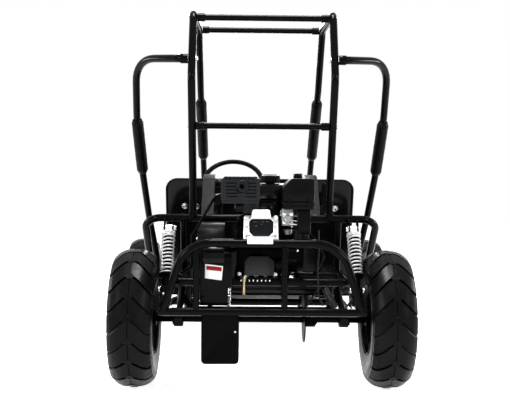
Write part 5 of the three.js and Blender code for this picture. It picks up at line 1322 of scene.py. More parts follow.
        assemble("switch_box", box, BLACK_PLASTIC, "chassis", "moulded_plastic")
        outline = [(-60, 404), (40, 404), (40, 452), (20, 470), (-44, 470), (-60, 452)]
        bracket = rear_plate("engine_bracket", outline, -93, 2.5, 0.8)
        hand_over(dress(bracket, DARK_STEEL), "chassis", "heat_black")
        post = rod("post", at(-62, -96, 338), at(-62, -96, 392), 4.5, 20, 0.8)
        assemble("engine_post", [post, hex_bolt("nut", at(-62, -96, 392), UP, 8)], GOLD_ZINC, "chassis",
                 "cast_aluminium")

    def starter(self) -> None:
        """The recoil starter's slotted cover, and the pull handle."""
        cover = turned("starter_cover", at(88, 0, self.crank_z),
                       [(0, 84), (30, 84), (44, 74), (55.5, 52), (55.5, 0), (0, 0)], RIGHT, 64)
        tools = []
        for k in range(16):
            angle = FULL_TURN * k / 16
            slot = block("slot", (100, -7, 55), (160, 7, 68), 0)
            slot.data.transform(Matrix.Translation(at(0, 0, self.crank_z)) @ Matrix.Rotation(angle, 4, "X")
                                @ Matrix.Translation(-at(0, 0, 0)))
            tools.append(slot)
        cover = cut_away(cover, weld("slots", tools))
        bolts = [hex_bolt("bolt", at(118, across, self.crank_z + up), RIGHT, 6)
                 for up, across in circle(3, math.radians(30), 79)]
        hand_over(dress(smooth(cover, 30), BLACK_PLASTIC), "chassis", "moulded_plastic")
        assemble("starter_bolts", bolts, BRIGHT_ZINC, "chassis", "cast_aluminium")
        grip = turned("pull_handle", at(150.3, 19, 540),
                      [(0, 0), (0, 6), (3, 8), (20, 7), (31, 6.2), (42, 7), (59, 8), (62, 6), (62, 0)],
                      AHEAD, 32)
        hand_over(dress(grip, BLACK_PLASTIC), "recoil_handle", "moulded_plastic", "recoil_handle")


# Drive


@dataclass
class Drive:
    """Belt cover, belt and pulleys, chain and sprockets, guard and mudflap."""

    jack: Pair = (215, 335)
    axle: Pair = (0, 241)
    crank: Pair = (0, 490)
    cover_face: float = -222
    sprocket_x: float = -115
    jack_radius: float = 28
    axle_radius: float = 108
    pitch: float = 12.7

    def build(self) -> None:
        """Builds the whole drive."""
        self.belt_cover()
        self.belt()
        self.pulleys()
        self.chain()
        self.guard()
        self.flap()
        self.hose()

    def stadium(self, radius: float) -> list[Pair]:
        """The outline round the crank's and the jackshaft's centres, as (Y, Z)."""
        span = Vector((self.jack[0] - self.crank[0], self.jack[1] - self.crank[1]))
        heading = math.atan2(span.y, span.x)
        points = []
        for centre, first in ((self.crank, heading + math.pi / 2), (self.jack, heading - math.pi / 2)):
            points += [(centre[0] + y, centre[1] + z) for y, z in circle(48, first, radius)[:25]]
        return points

    def belt_cover(self) -> None:
        """The grey cast cover with a raised rim, cooling ribs and its screws."""
        case = side_plate("belt_cover", self.stadium(86), self.cover_face, 93, 7, (12, 3))
        ribs = []
        for k in range(5):
            share = 0.1 + 0.2 * k
            y = self.crank[0] + (self.jack[0] - self.crank[0]) * share
            z = self.crank[1] + (self.jack[1] - self.crank[1]) * share
            ribs.append(block("rib", (-221.5, y - 2, z - 44), (-216, y + 2, z + 44), 1))
        bosses = [rod_x("boss", -218, -214, *centre, 34, 40) for centre in (self.crank, self.jack)]
        assemble("belt_cover", [case, *ribs, *bosses], CAST_GREY, "chassis", "cast_grey", "cvt_cover")
        screws = [hex_bolt("screw", at(self.cover_face, y, z), LEFT, 4.5) for y, z in self.stadium(78)[1::6]]
        assemble("belt_cover_screws", screws, BRIGHT_ZINC, "chassis", "cast_grey")

    def belt(self) -> None:
        """The drive belt inside its cover, as it is in the frame."""
        belt = softened_node("drive_belt", "ribbed_belt", 1)
        hand_over(dress(belt, BLACK_RUBBER), "chassis", "black_rubber", "drive_belt")

    def pulleys(self) -> None:
        """The crank's and the jackshaft's pulleys, and the small sprocket."""
        crank = softened_node("drive_pulley", "clutch_pulley", 1.2)
        hand_over(dress(crank, BRIGHT_ZINC), "drive_pulley", "bare_steel", "drive_pulley")
        jack = [softened_node("jackshaft", "driven_shaft", 1),
                self.sprocket("small_sprocket", at(self.sprocket_x, *self.jack), 14, self.jack_radius, 0)]
        assemble("driven_shaft", jack, BRIGHT_ZINC, "jackshaft", "bare_steel", "jackshaft")

    def sprocket(self, name: str, centre: Vector, teeth: int, radius: float, holes: int) -> Piece:
        """A toothed wheel across X."""
        tooth = ((-0.28, -4.2), (-0.12, 2.6), (0.12, 2.6), (0.28, -4.2), (0.5, -6))
        flanks = [circle(teeth, FULL_TURN * share / teeth, radius + reach) for share, reach in tooth]
        outline = [flank[k] for k in range(teeth) for flank in flanks]
        plate = sheet_metal(name, outline, lambda y, z: centre + Vector((-2.4, y, z)) * MM,
                            Vector((4.8 * MM, 0, 0)), 0.5)
        if holes:
            reach = RIGHT * 0.02
            spots = [centre + Vector((0, y, z)) * radius * 0.62 * MM for y, z in circle(holes)]
            tools = [rod("hole", spot - reach, spot + reach, radius * 0.15, 28) for spot in spots]
            plate = cut_away(plate, weld("holes", tools))
        return smooth(plate, 30)

    def loop(self) -> tuple[Callable[[float], Vector], float]:
        """The chain's pitch line: a place for each length along it, and its whole length."""
        big, small = self.axle_radius + 0.8, self.jack_radius + 0.8
        span = Vector((self.jack[0] - self.axle[0], self.jack[1] - self.axle[1]))
        heading, reach = math.atan2(span.y, span.x), span.length
        open_angle = math.acos((big - small) / reach)
        straight = math.sqrt(reach ** 2 - (big - small) ** 2)
        arc_big = (FULL_TURN - 2 * open_angle) * big
        arc_small = 2 * open_angle * small
        total = arc_big + arc_small + 2 * straight

        def spot(centre: Pair, radius: float, angle: float) -> Vector:
            return at(self.sprocket_x, centre[0] + radius * math.cos(angle),
                      centre[1] + radius * math.sin(angle))

        def place_at(length: float) -> Vector:
            s = length % total
            if s < arc_big:
                return spot(self.axle, big, heading + open_angle + s / big)
            s -= arc_big
            first, second = heading - open_angle, heading + open_angle
            if s < straight:
                return spot(self.axle, big, first).lerp(spot(self.jack, small, first), s / straight)
            s -= straight
            if s < arc_small:
                return spot(self.jack, small, first + s / small)
            s -= arc_small
            return spot(self.jack, small, second).lerp(spot(self.axle, big, second), s / straight)

        return place_at, total

    def chain(self) -> None:
        """A roller chain: one link of each kind modelled, then copied round the loop."""
        place_at, total = self.loop()
        count = 2 * round(total / self.pitch / 2)
        step = total / count
        links = [self.link(step, 4.6), self.link(step, 3.2)]
        places = [place_at(k * step) for k in range(count + 1)]
        made = []
        for k, (here, there) in enumerate(zip(places, places[1:])):
            angle = math.atan2(there.z - here.z, there.y - here.y)
            move = Matrix.Translation((here + there) / 2) @ Matrix.Rotation(angle, 4, "X")
            made.append(copy_of(links[k % 2], move))
        for link in links:
            bpy.data.objects.remove(link)
        assemble("roller_chain", made, BRIGHT_ZINC, "swing_arm", "bare_steel", "chain")

    def link(self, step: float, offset: float) -> Piece:
        """One chain link about the origin, its plates `offset` from the middle."""
        parts = []
        for x in (-offset, offset):
            deselect_all()
            bpy.ops.mesh.primitive_cube_add(size=1, location=(x * MM, 0, 0),
                                            scale=(1.2 * MM, (step + 8) * MM, 9 * MM))
            plate = settle("plate")
            parts.append(apply_modifier(plate, "BEVEL", width=3 * MM, segments=1, limit_method="ANGLE",
                                        angle_limit=math.radians(60), use_clamp_overlap=True))
        deselect_all()
        bpy.ops.mesh.primitive_cylinder_add(vertices=10, radius=4.2 * MM, depth=9.4 * MM,
                                            location=(0, step / 2 * MM, 0), rotation=(0, math.pi / 2, 0))
        parts.append(settle("roller"))
        return smooth(weld("link", parts), 40)

    def guard(self) -> None:
        """The chain guard: bent sheet, rolled edge, reflector and screws."""
        shell = softened_node("chain_guard", "guard_sheet", 0.9)
        drum = rod_x("drum_band", -205, -128, -118, 470, 46, 48, 1.5)
        edge = tube("rolled_edge", run([(-205.5, -161.5, 316), (-205.5, -161.5, 500)]), 2.2, 5, 3)
        assemble("guard_sheet", [shell, edge], BLACK_COAT, "chassis", "frame_paint", "chain_guard")
        hand_over(dress(drum, GLOSS_TANK), "chassis", "frame_paint")
        plate = rear_plate("reflector_base", [(-192, 404), (-136, 397), (-132, 444), (-191, 451)], -163.4,
                           1.4, 0.4)
        hand_over(dress(plate, WHITE_PANEL), "chassis", "frame_paint")
        lens = rear_plate("reflector_lens", [(-187, 432), (-137, 427), (-136, 441), (-187, 446)], -165, 1.8,
                          0.5)
        hand_over(dress(lens, RED_REFLECTOR), "chassis", "frame_paint")
        screws = [hex_bolt("screw", at(x, -162, z), BACK, 5) for x, z in ((-198, 340), (-198, 492))]
        assemble("guard_screws", screws, BLACK_COAT, "chassis", "frame_paint")

    def flap(self) -> None:
        """The rubber mudflap with its raised border, hole and clamp strip."""
        outline = [(-140 + way * (49 + 14 * math.cos(angle)), 130 - 14 * math.sin(angle))
                   for way, turns in ((-1, range(7)), (1, range(6, -1, -1)))
                   for angle in (math.radians(15 * k) for k in turns)]
        outline += [(-77, 300), (-203, 300)]
        flap = rear_plate("flap", outline, -167.7, 6, 1, (8, 1))
        flap = cut_away(flap, rod("hole", at(-90, -190, 224), at(-90, -150, 224), 3.5, 20))
        for vertex in flap.data.vertices:
            share = max(0.0, (290 * MM - vertex.co.z) / 0.17)
            vertex.co.y += 0.0025 * math.sin(share * 2.2) * (1 + 0.4 * math.sin(vertex.co.x * 40))
        hand_over(dress(smooth(flap, 30), BLACK_RUBBER), "chassis", "black_rubber", "mudflap")
        strip = block("clamp_strip", (-200, -170.5, 285), (-80, -168, 299), 0.6)
        screws = [hex_bolt("screw", at(x, -170.5, 292), BACK, 5) for x in (-188, -140, -92)]
        assemble("flap_clamp", [strip, *screws], DARK_STEEL, "chassis", "frame_paint")

    def hose(self) -> None:
        """The fuel hose from the tank to the rear rail, with a clip at each end."""
        hose = tube("rubber_hose",
                    run([(-104.3, 16, 672), (-156, 16, 672), (-162, -64, 672), (-240, -64, 534),
                         (-240, -64, 428), (-285, -40, 400.3)]), 5, 24, 4)
        hand_over(dress(hose, BLACK_RUBBER), "chassis", "black_rubber", "fuel_hose")
        clips = [hoop("clip", at(-112, 16, 672), RIGHT, 6.6, 1.1, 32),
                 hoop("clip", at(-281, -42.5, 403), Vector((-0.8, 0.4, -0.45)), 6.6, 1.1, 32)]
        assemble("hose_clips", clips, BRIGHT_ZINC, "chassis", "bare_steel")


# Rear suspension


@dataclass
class RearSuspension:
    """Swing arm, live axle with its chain wheel and brake disc, and the caliper."""

    drive: Drive
    pivot: Pair = (215, 335)
    axle_z: float = 241
    half_span: float = 290
    shock_x: float = 334
    shock_low: Pair = (-25, 345)
    disc_x: float = 150

    def build(self) -> None:
        """Builds the arm, the axle and the brake."""
        self.arm()
        self.caliper()
        self.axle()

    def ear(self, side: int) -> list[Piece]:
        """The fork on the arm that holds a shock's lower eye."""
        y, z = self.shock_low
        parts = []
        near, far = sorted((side * self.half_span, side * (self.shock_x + EAR_FACE)))
        parts.append(block("shelf", (near, y - 26, 268), (far, y + 26, 274), 1.5))
        outline = [(y - 13, 270), (y + 13, 270), (y + 13, z + 6), (y + 7, z + 13), (y - 7, z + 13),
                   (y - 13, z + 6)]
        for low in (self.shock_x - EAR_FACE, self.shock_x + EAR_ROOM):
            first = side * low if side > 0 else -low - EAR_WALL
            parts.append(side_plate("ear", outline, first, EAR_WALL, 0.8))
        return parts

    def arm(self) -> None:
        """The swing arm's beams, cross tube, lugs, bearing housings and shock forks."""
        lean = math.atan2(self.pivot[1] - self.axle_z, self.pivot[0])
        parts = []
        for side in SIDES.values():
            x = side * self.half_span
            away, near = 16, 27
            parts.append(tube("beam", run([
                (x, self.pivot[0] - away * math.cos(lean), self.pivot[1] - away * math.sin(lean)),
                (x, near * math.cos(lean), self.axle_z + near * math.sin(lean))]), 12))
            parts.append(bush("lug", at(x, *self.pivot), 15, 8.5, 20, (1.5, 1.5), RIGHT, 40))
            parts.append(bush("housing", at(x, 0, self.axle_z), 18, 15.5, 32, (4, 5), RIGHT, 48))
            for angle in (0.9, 2.5, 3.9, 5.4):
                spot = at(x + side * 16, 23 * math.cos(angle), self.axle_z + 23 * math.sin(angle))
                parts.append(hex_bolt("housing_bolt", spot, Vector((side, 0, 0)), 5.5, washer=False))
            parts.extend(self.ear(side))
        beam_z = self.axle_z + (self.pivot[1] - self.axle_z) * 135 / self.pivot[0]
        parts.append(tube("cross",
                          run([(-290, 135, beam_z), (-250, 135, 246), (250, 135, 246), (290, 135, beam_z)]),
                          12, 30))
        parts.append(block("caliper_tab", (126, 68, 238), (134, 135, 254), 1.2))
        assemble("swing_arm_frame", parts, BLACK_COAT, "swing_arm", "frame_paint", "swing_arm")
        pins = []
        y, z = self.shock_low
        for side in SIDES.values():
            low, high = sorted((side * (self.shock_x - EAR_FACE), side * (self.shock_x + EAR_FACE)))
            pins.append(rod_x("pin", low, high, y, z, 6, 24))
            pins.append(hex_bolt("pin_head", at(high, y, z), RIGHT, 9))
            pins.append(hex_bolt("pin_nut", at(low, y, z), LEFT, 9))
        assemble("lower_shock_bolts", pins, BRIGHT_ZINC, "swing_arm", "bare_steel")

    def caliper(self) -> None:
        """The brake caliper astride its disc."""
        parts = [block("inner_half", (134.3, 53, 222), (145.6, 107, 270), 3),
                 block("outer_half", (154.4, 53, 222), (166, 107, 270), 3),
                 block("bridge", (137, 90, 226), (163, 108, 266), 3)]
        for y, z in ((72, 246), (72, 232)):
            parts.append(rod_x("piston_cap", 165, 169, y, z + 2, 9, 28, 1))
        assemble("caliper_casting", parts, CAST_GREY, "swing_arm", "cast_grey", "brake_caliper")
        bolts = [hex_bolt("bolt", at(166, y, z), RIGHT, 5.5) for y, z in ((98, 230), (98, 262))]
        bolts.append(rod("bleed", at(160, 80, 270), at(160, 80, 279), 3.4, 6, 0.5))
        assemble("caliper_bolts", bolts, BRIGHT_ZINC, "swing_arm", "bare_steel")

    def axle(self) -> None:
        """The live axle, its hubs, the chain wheel and the drilled disc."""
        centre = (0, self.axle_z)
        parts = [rod_x("axle_bar", -470, 470, *centre, 15, 40, 1.2)]
        for side in SIDES.values():
            way = Vector((side, 0, 0))
            parts.append(turned("hub", at(side * 367, *centre),
                                [(0, 15), (0, 24), (2, 26), (34, 26), (37, 50), (38.5, 52), (48.7, 52),
                                 (48.7, 15)],
                                way, 48))
            parts.append(hex_bolt("axle_nut", at(side * 470, *centre), way, 15, 12))
        parts.append(rod_x("sprocket_hub", -135, -95, *centre, 30, 40, 1.5))
        parts.append(self.drive.sprocket("chain_wheel", at(-115, *centre), 54, 108, 6))
        parts.append(rod_x("disc_hub", 153, 190, *centre, 30, 40, 1.5))
        parts += [hex_bolt("hub_bolt", at(x, y, self.axle_z + z), RIGHT, 5.5, washer=False)
                  for y, z in circle(4, 0.5, 23) for x in (190, -95)]
        disc = turned("disc", at(self.disc_x, *centre), [(-2, 20), (2, 20), (2, 84), (-2, 84)], RIGHT, 72)
        tools = [rod_x("hole", 145, 155, (66 + 7 * (k % 3 - 1)) * y,
                       self.axle_z + (66 + 7 * (k % 3 - 1)) * z, 3.2, 12)
                 for k, (y, z) in enumerate(circle(30))]
        parts.append(smooth(cut_away(disc, weld("holes", tools)), 30))
        assemble("live_axle", parts, CASE_BLACK, "rear_axle", "bare_steel", "rear_axle")


# Shocks


@dataclass
class Shocks:
    """The two coil-over shocks."""

    x: float = 334
    top: Pair = (105, 547)
    low: Pair = (-25, 345)
    turns: float = 12
    coil_radius: float = 21.7
    wire: float = 3.0

    def down(self, side: int, reach: float) -> Vector:
        """A place on a shock's axis, `reach` below its upper eye."""
        span = math.hypot(self.top[0] - self.low[0], self.top[1] - self.low[1])
        share = reach / span
        return at(side * self.x, self.top[0] + (self.low[0] - self.top[0]) * share,
                  self.top[1] + (self.low[1] - self.top[1]) * share)

    def heading(self) -> Vector:
        """The way down a shock's axis."""
        return (self.down(1, 100) - self.down(1, 0)).normalized()

    def build(self) -> None:
        """Builds both shocks."""
        for name, side in SIDES.items():
            self.body(name, side)
            self.spring(name, side)
            self.rod(name, side)

    def eye(self, side: int, reach: float, bore: float) -> Piece:
        """A shock's eye with its rubber bush's rims."""
        return bush("eye", self.down(side, reach), 13, bore, 13, (1.5, 2), RIGHT, 40)

    def body(self, name: str, side: int) -> None:
        """Upper eye, seat and damper body of one shock."""
        way = self.heading()
        top = self.down(side, 0)
        seat = turned("seat", top,
                      [(11, 8), (11, 10), (17, 11), (20, 24), (20.6, 26), (25.4, 26), (26, 25), (26, 8)],
                      way, 48)
        tube_body = turned("damper", top, [(24, 13.4), (24, 17), (134, 17), (138, 15.5), (138, 13.4)], way,
                           40)
        rings = [turned("adjuster", top, [(low, 16), (low, 18), (low + 3, 18), (low + 3, 16)], way, 24, 20)
                 for low in (30, 36)]
        eye = self.eye(side, 0, 6.5)
        assemble(f"shock_damper_{name}", [tube_body, *rings], BLACK_COAT, f"shock_body_{name}",
                 "bare_steel", f"shock_body_{name}")
        assemble(f"shock_top_{name}", [eye, seat], CAST_ALUMINIUM, f"shock_body_{name}", "bare_steel")

    def spring(self, name: str, side: int) -> None:
        """The white coil spring with closed, flat ends."""
        way = self.heading()
        across = RIGHT
        other = way.cross(across)
        first, last = 26.6 + self.wire, 184 - self.wire
        points = []
        steps = int(self.turns * 28)
        for k in range(steps + 1):
            share = k / steps
            eased = min(max((share - 0.06) / 0.88, 0.0), 1.0)
            reach = first + (last - first) * eased
            angle = FULL_TURN * self.turns * share
            radial = across * math.cos(angle) + other * math.sin(angle)
            points.append(self.down(side, reach) + radial * self.coil_radius * MM)
        coil = line_tube(f"coil_spring_{name}", points, self.wire, 4)
        hand_over(dress(coil, SPRING_WHITE), f"shock_body_{name}", "spring_white", f"shock_spring_{name}")

    def rod(self, name: str, side: int) -> None:
        """Lower eye, lower seat, piston rod and bump stop of one shock."""
        way = self.heading()
        top = self.down(side, 0)
        span = 240.2
        seat = turned("low_seat", top,
                      [(184.6, 8), (184.6, 25), (185.2, 26), (190, 26), (190.6, 24.5), (196, 14),
                       (span - 11, 11), (span - 11, 8)], way, 48)
        bar = rod("rod_sleeve", self.down(side, 88), self.down(side, 186), 12.6, 32, 0.6)
        stop = turned("bump_stop", top,
                      [(166, 12), (166, 14), (170, 15.5), (176, 14.5), (184, 17), (184, 12)], way, 32)
        eye = self.eye(side, span, 8.5)
        assemble(f"shock_foot_{name}", [eye, seat], BLACK_COAT, f"shock_rod_{name}", "bare_steel",
                 f"shock_rod_{name}")
        hand_over(dress(bar, BLACK_COAT), f"shock_rod_{name}", "bare_steel")
        stop.name = f"bump_stop_{name}"
        hand_over(dress(stop, BLACK_RUBBER), f"shock_rod_{name}", "black_rubber")


# Wheels


@dataclass
class Wheels:
    """Four steel wheels with chevron tread tyres."""

    rear: tuple[float, float, float, float] = (440, 0, 241, 150)
    front: tuple[float, float, float, float] = (545, 1220, 200, 140)
    rim_width: float = 112
    bead_radius: float = 109.5
    block_height: float = 11
    rear_blocks: int = 20
    front_blocks: int = 17

    def build(self) -> None:
        """Builds all four wheels."""
        for name, side in SIDES.items():
            for end, body, sizes, count in (("rear", "rear_axle", self.rear, self.rear_blocks),
                                            ("front", f"front_wheel_{name}", self.front, self.front_blocks)):
                half_track, y, radius, width = sizes
                centre = at(side * half_track, y, radius)
                self.tyre(f"{end}_tyre_{name}", body, centre, radius, width, count)
                self.rim(f"{end}_rim_{name}", body, centre, side)

    def tyre(self, node: str, body: str, centre: Vector, radius: float, width: float, count: int) -> None:
        """One tyre: carcass, chevron tread blocks and rings on its walls."""
        half, bead = width / 2, self.rim_width / 2 - 4.3
        base = radius - self.block_height
        bulge = radius * 0.77

        def crown(x: float) -> float:
            return base - self.drop(x, radius, half)

        carcass = [(-bead, self.bead_radius), (-half + 7, 120), (-half + 1, bulge - 16), (-half, bulge - 4),
                   (-half + 1.5, bulge + 8),
                   *((x, crown(x)) for x in (7 - half, 16 - half, 34 - half, -16, 0, 16,
                                             half - 34, half - 16, half - 7)),
                   (half - 1.5, bulge + 8), (half, bulge - 4), (half - 1, bulge - 16), (half - 7, 120),
                   (bead, self.bead_radius), (bead - 9, self.bead_radius), (half - 16, bulge - 8),
                   (half - 26, base - 24),
                   (26 - half, base - 24), (16 - half, bulge - 8), (9 - bead, self.bead_radius)]
        parts = [turned("carcass", centre, carcass, RIGHT, 96, 40)]
        for x in (-half + 4.4, half - 4.4):
            for reach in (127, bulge - 8):
                parts.append(hoop("wall_ring",
                                  centre + Vector((x * MM if reach < 130 else x * MM * 1.03, 0, 0)),
                                  RIGHT, reach, 1.6, 64))
        pattern = self.tread(radius, half, count)
        for k in range(count):
            parts.append(copy_of(pattern, Matrix.Translation(centre)
                                 @ Matrix.Rotation(FULL_TURN * (k + 0.5) / count, 4, "X")))
        bpy.data.objects.remove(pattern)
        assemble(f"{node}_rubber", parts, TYRE_RUBBER, body, "tyre_rubber", node)

    def drop(self, x: float, radius: float, half: float) -> float:
        """How far the round crown of a tyre falls away from its middle, in millimetres."""
        return 0.14 * radius * (abs(x) / half) ** 3

    def tread(self, radius: float, half: float, count: int) -> Piece:
        """One pitch of tread about the X axis: a chevron's two arms, a middle wedge and shoulder lugs."""
        pitch = FULL_TURN * radius / count
        low = radius - self.block_height - 1.5
        groove = 11.5
        solid = pitch - groove
        parts = []
        for side in SIDES.values():
            arm = [(0.4, 0), (27, -23), (half - 17, -(half - 21)), (half - 3, -(half - 12))]
            outline = [(side * x, y) for x, y in arm] + [(side * x, y - solid) for x, y in reversed(arm)]
            parts.append(self.lug("arm", outline, radius - 1.5, low, half))
        wedge = [(-4, -4), (4, -4), (15, -16), (8, -28), (-8, -28), (-15, -16)]
        parts.append(self.lug("wedge", [(x, y + groove + 5) for x, y in wedge], radius - 0.2, low, half))
        return weld("tread", parts)

    def lug(self, name: str, outline: Outline, radius: float, low: float, half: float) -> Piece:
        """A tread lug, drawn flat as (across, round) and wrapped on the tyre's crown."""
        made = sheet_metal(name, outline, lambda x, y: Vector((x, y, radius)) * MM,
                           Vector((0, 0, (low - radius) * MM)), 0)
        with editing(made):
            bpy.ops.mesh.bisect(plane_co=(0, 0, 0), plane_no=(1, 0, 0))
            for x in (18, half - 42, half - 28, half - 16, half - 8):
                for side in (1, -1):
                    bpy.ops.mesh.select_all(action="SELECT")
                    bpy.ops.mesh.bisect(plane_co=(side * x * MM, 0, 0), plane_no=(1, 0, 0))
        soften(made, 1.1, 1, 40)
        for vertex in made.data.vertices:
            x, y, z = vertex.co / MM
            reach = z - self.drop(x, radius, half)
            angle = y / radius
            vertex.co = Vector((x, reach * math.sin(angle), reach * math.cos(angle))) * MM
        return made

    def rim(self, node: str, body: str, centre: Vector, side: int) -> None:
        """One pressed steel rim with its dish, vent holes, lug nuts and valve."""
        way = Vector((side, 0, 0))
        face = -24
        profile = [(-56, 109), (-56, 97.5), (-40, 95), (-30, 97), (face - 3, 97), (face - 3, 74),
                   (face + 4, 68),
                   (face, 58), (face, 18), (face + 5, 18), (face + 5, 58), (face + 9, 70), (face + 2, 78),
                   (face + 2, 97), (30, 97), (40, 95), (56, 97.5), (56, 109), (52, 109), (48, 102), (38, 99),
                   (30, 101), (-30, 101), (-38, 99), (-48, 102), (-52, 109)]
        dished = turned("dish", centre, profile, way, 72)
        reach = RIGHT * 0.05
        spots = [centre + Vector((0, y, z)) * 84.5 * MM for y, z in circle(8, math.pi / 8)]
        tools = [rod("vent", spot - reach, spot + reach, 7.5, 20) for spot in spots]
        dished = smooth(cut_away(dished, weld("vents", tools)), 32)
        beads = [hoop("rolled_edge", centre + way * x * MM, way, 107.6, 2.2, 64) for x in (-54, 54)]
        assemble(f"{node}_pressing", [dished, *beads], BLACK_RIM, body, "rim_paint", node)
        nuts = []
        for y, z in circle(4, math.pi / 4):
            spot = centre + way * (face + 5) * MM + Vector((0, y, z)) * 38 * MM
            nuts.append(hex_bolt("lug_nut", spot, way, 9, 9))
            nuts.append(rod("stud", spot, spot + way * 15 * MM, 4.4, 12, 0.6))
        nuts.append(rod("valve", centre + Vector((side * 26, 0, 92)) * MM,
                        centre + Vector((side * 48, 0, 84)) * MM, 3.4, 12, 0.8))
        assemble(f"{node}_nuts", nuts, BRIGHT_ZINC, body, "bare_steel")


# Front end


@dataclass
class FrontEnd:
    """Knuckles, tie rods, steering shaft and wheel, and the pedals."""

    wheelbase: float = 1220
    kingpin_x: float = 455
    hub_z: float = 200
    wheel_centre: Point = (-110, 862, 690)
    tilt: float = 45
    shaft_length: float = 622
    rim_radius: float = 130
    arm_reach: float = 60
    pedal_pivot: Pair = (1372, 208)

    def build(self) -> None:
        """Builds the whole front end."""
        for name, side in SIDES.items():
            self.knuckle(name, side)
            self.tie_rod(name, side)
        self.shaft()
        self.steering_wheel()
        self.pedal("brake_pedal", -185)
        self.pedal("throttle_pedal", -60)

    def heading(self) -> Vector:
        """The way down the steering shaft."""
        lean = math.radians(self.tilt)
        return Vector((0, math.sin(lean), -math.cos(lean)))

    def down_shaft(self, reach: float) -> Vector:
        """A place on the steering shaft's axis, in metres."""
        return at(*self.wheel_centre) + self.heading() * reach * MM

    def knuckle(self, name: str, side: int) -> None:
        """One knuckle: fork plates, web, kingpin, stub axle and steering arm."""
        top, low = self.hub_z + 28.3, self.hub_z - 28.3
        x, y = self.kingpin_x, self.wheelbase

        def span(near: float, far: float) -> Pair:
            first, second = sorted((side * near, side * far))
            return first, second

        (flat_a, flat_b), (web_a, web_b) = span(x - 16, x + 26), span(x + 18, x + 26)
        parts = [block("plate", (flat_a, y - 16, low - 8), (flat_b, y + 16, low), 1.5),
                 block("plate", (flat_a, y - 16, top), (flat_b, y + 16, top + 8), 1.5),
                 block("web", (web_a, y - 16, low - 8), (web_b, y + 16, top + 8), 1.5),
                 block("steering_arm", (side * x - 9, y, top), (side * x + 9, y + 94, top + 8), 3),
                 rod("kingpin", at(side * x, y, low - 8), at(side * x, y, top + 8), 7, 24)]
        for z, way in ((top + 8, 1), (low - 8, -1)):
            parts.append(hex_bolt("kingpin_nut", at(side * x, y, z), Vector((0, 0, way)), 11))
        near, far = span(x + 22, 520.7)
        parts.append(rod_x("spacer", near, far, y, self.hub_z, 16, 32, 1))
        near, far = span(x + 22, 573)
        parts.append(rod_x("stub_axle", near, far, y, self.hub_z, 10, 32, 0.8))
        parts.append(hex_bolt("stub_nut", at(side * 560, y, self.hub_z), Vector((side, 0, 0)), 15, 9))
        assemble(f"knuckle_forging_{name}", parts, DARK_STEEL, f"knuckle_{name}", "bare_steel",
                 f"knuckle_{name}")

    def tie_rod(self, name: str, side: int) -> None:
        """One tie rod with its threaded ends, lock nuts and ball joints."""
        inner = Vector((-110 + side * 3, 1342.4, 306.4))
        outer = Vector((side * self.kingpin_x, self.wheelbase + 80, 243.9))
        first = inner + Vector((side * 32, 0, 0))
        last = outer - Vector((side * 32, 0, 0))
        way = (last - first).normalized()
        parts = [tube("tie_bar", run([inner, first, last, outer]), 6.9, 40, 4)]
        for share in (0.12, 0.88):
            spot = first.lerp(last, share)
            parts.append(rod("lock_nut", at(*(spot - way * 5)), at(*(spot + way * 5)), 10.5, 6, 1))
        parts += [turned("ball_joint", at(*outer),
                         [(-6.8, 0), (-6.8, 11), (-4, 13), (4, 13), (8, 10), (8, 0)], UP, 32),
                  hex_bolt("ball_nut", at(outer.x, outer.y, outer.z + 8), UP, 8)]
        assemble(f"tie_bar_{name}", parts, BRIGHT_ZINC, f"tie_rod_{name}", "bare_steel", f"tie_rod_{name}")

    def shaft(self) -> None:
        """The steering shaft with its collar and its upright arm."""
        up = Vector((0, math.cos(math.radians(self.tilt)), math.sin(math.radians(self.tilt))))
        foot = self.down_shaft(self.shaft_length - 11)
        parts = [rod("shaft", self.down_shaft(11.4), self.down_shaft(self.shaft_length), 10, 36, 1),
                 rod("collar", self.down_shaft(342.9), self.down_shaft(354), 17, 32, 1.5),
                 rod("arm", foot, foot + up * self.arm_reach * MM, 10.8, 32, 1.5),
                 rod("arm_boss", foot - self.heading() * 10.5 * MM, foot + self.heading() * 10.5 * MM, 14,
                     32, 2),
                 turned("flange", self.down_shaft(11.4),
                        [(0, 10), (0, 26), (4, 26), (9, 15), (30, 13), (30, 10)], self.heading(), 40)]
        assemble("steering_column", parts, DARK_STEEL, "steering", "bare_steel", "steering_shaft")

    def steering_wheel(self) -> None:
        """The steering wheel: padded rim, pierced spokes and hub with its screws."""
        centre = at(*self.wheel_centre)
        way = -self.heading()
        right = RIGHT
        up = way.cross(right)
        rim = hoop("grip", centre, way, self.rim_radius, 10.6, 96)
        ribs = []
        for cos, sin in circle(36):
            spoke = right * cos + up * sin
            ribs.append(hoop("grip_rib", centre + spoke * self.rim_radius * MM, spoke.cross(way), 10.7, 0.7,
                             16))
        assemble("steering_grip", [rim, *ribs], BLACK_RUBBER, "steering", "black_rubber", "steering_wheel")
        plates = []
        for angle in (0.0, math.pi, -math.pi / 2):
            along = right * math.cos(angle) + up * math.sin(angle)
            beside = way.cross(along)

            def place(u: float, v: float, along: Vector = along, beside: Vector = beside) -> Vector:
                return centre + (along * u + beside * v + way * 2.7) * MM

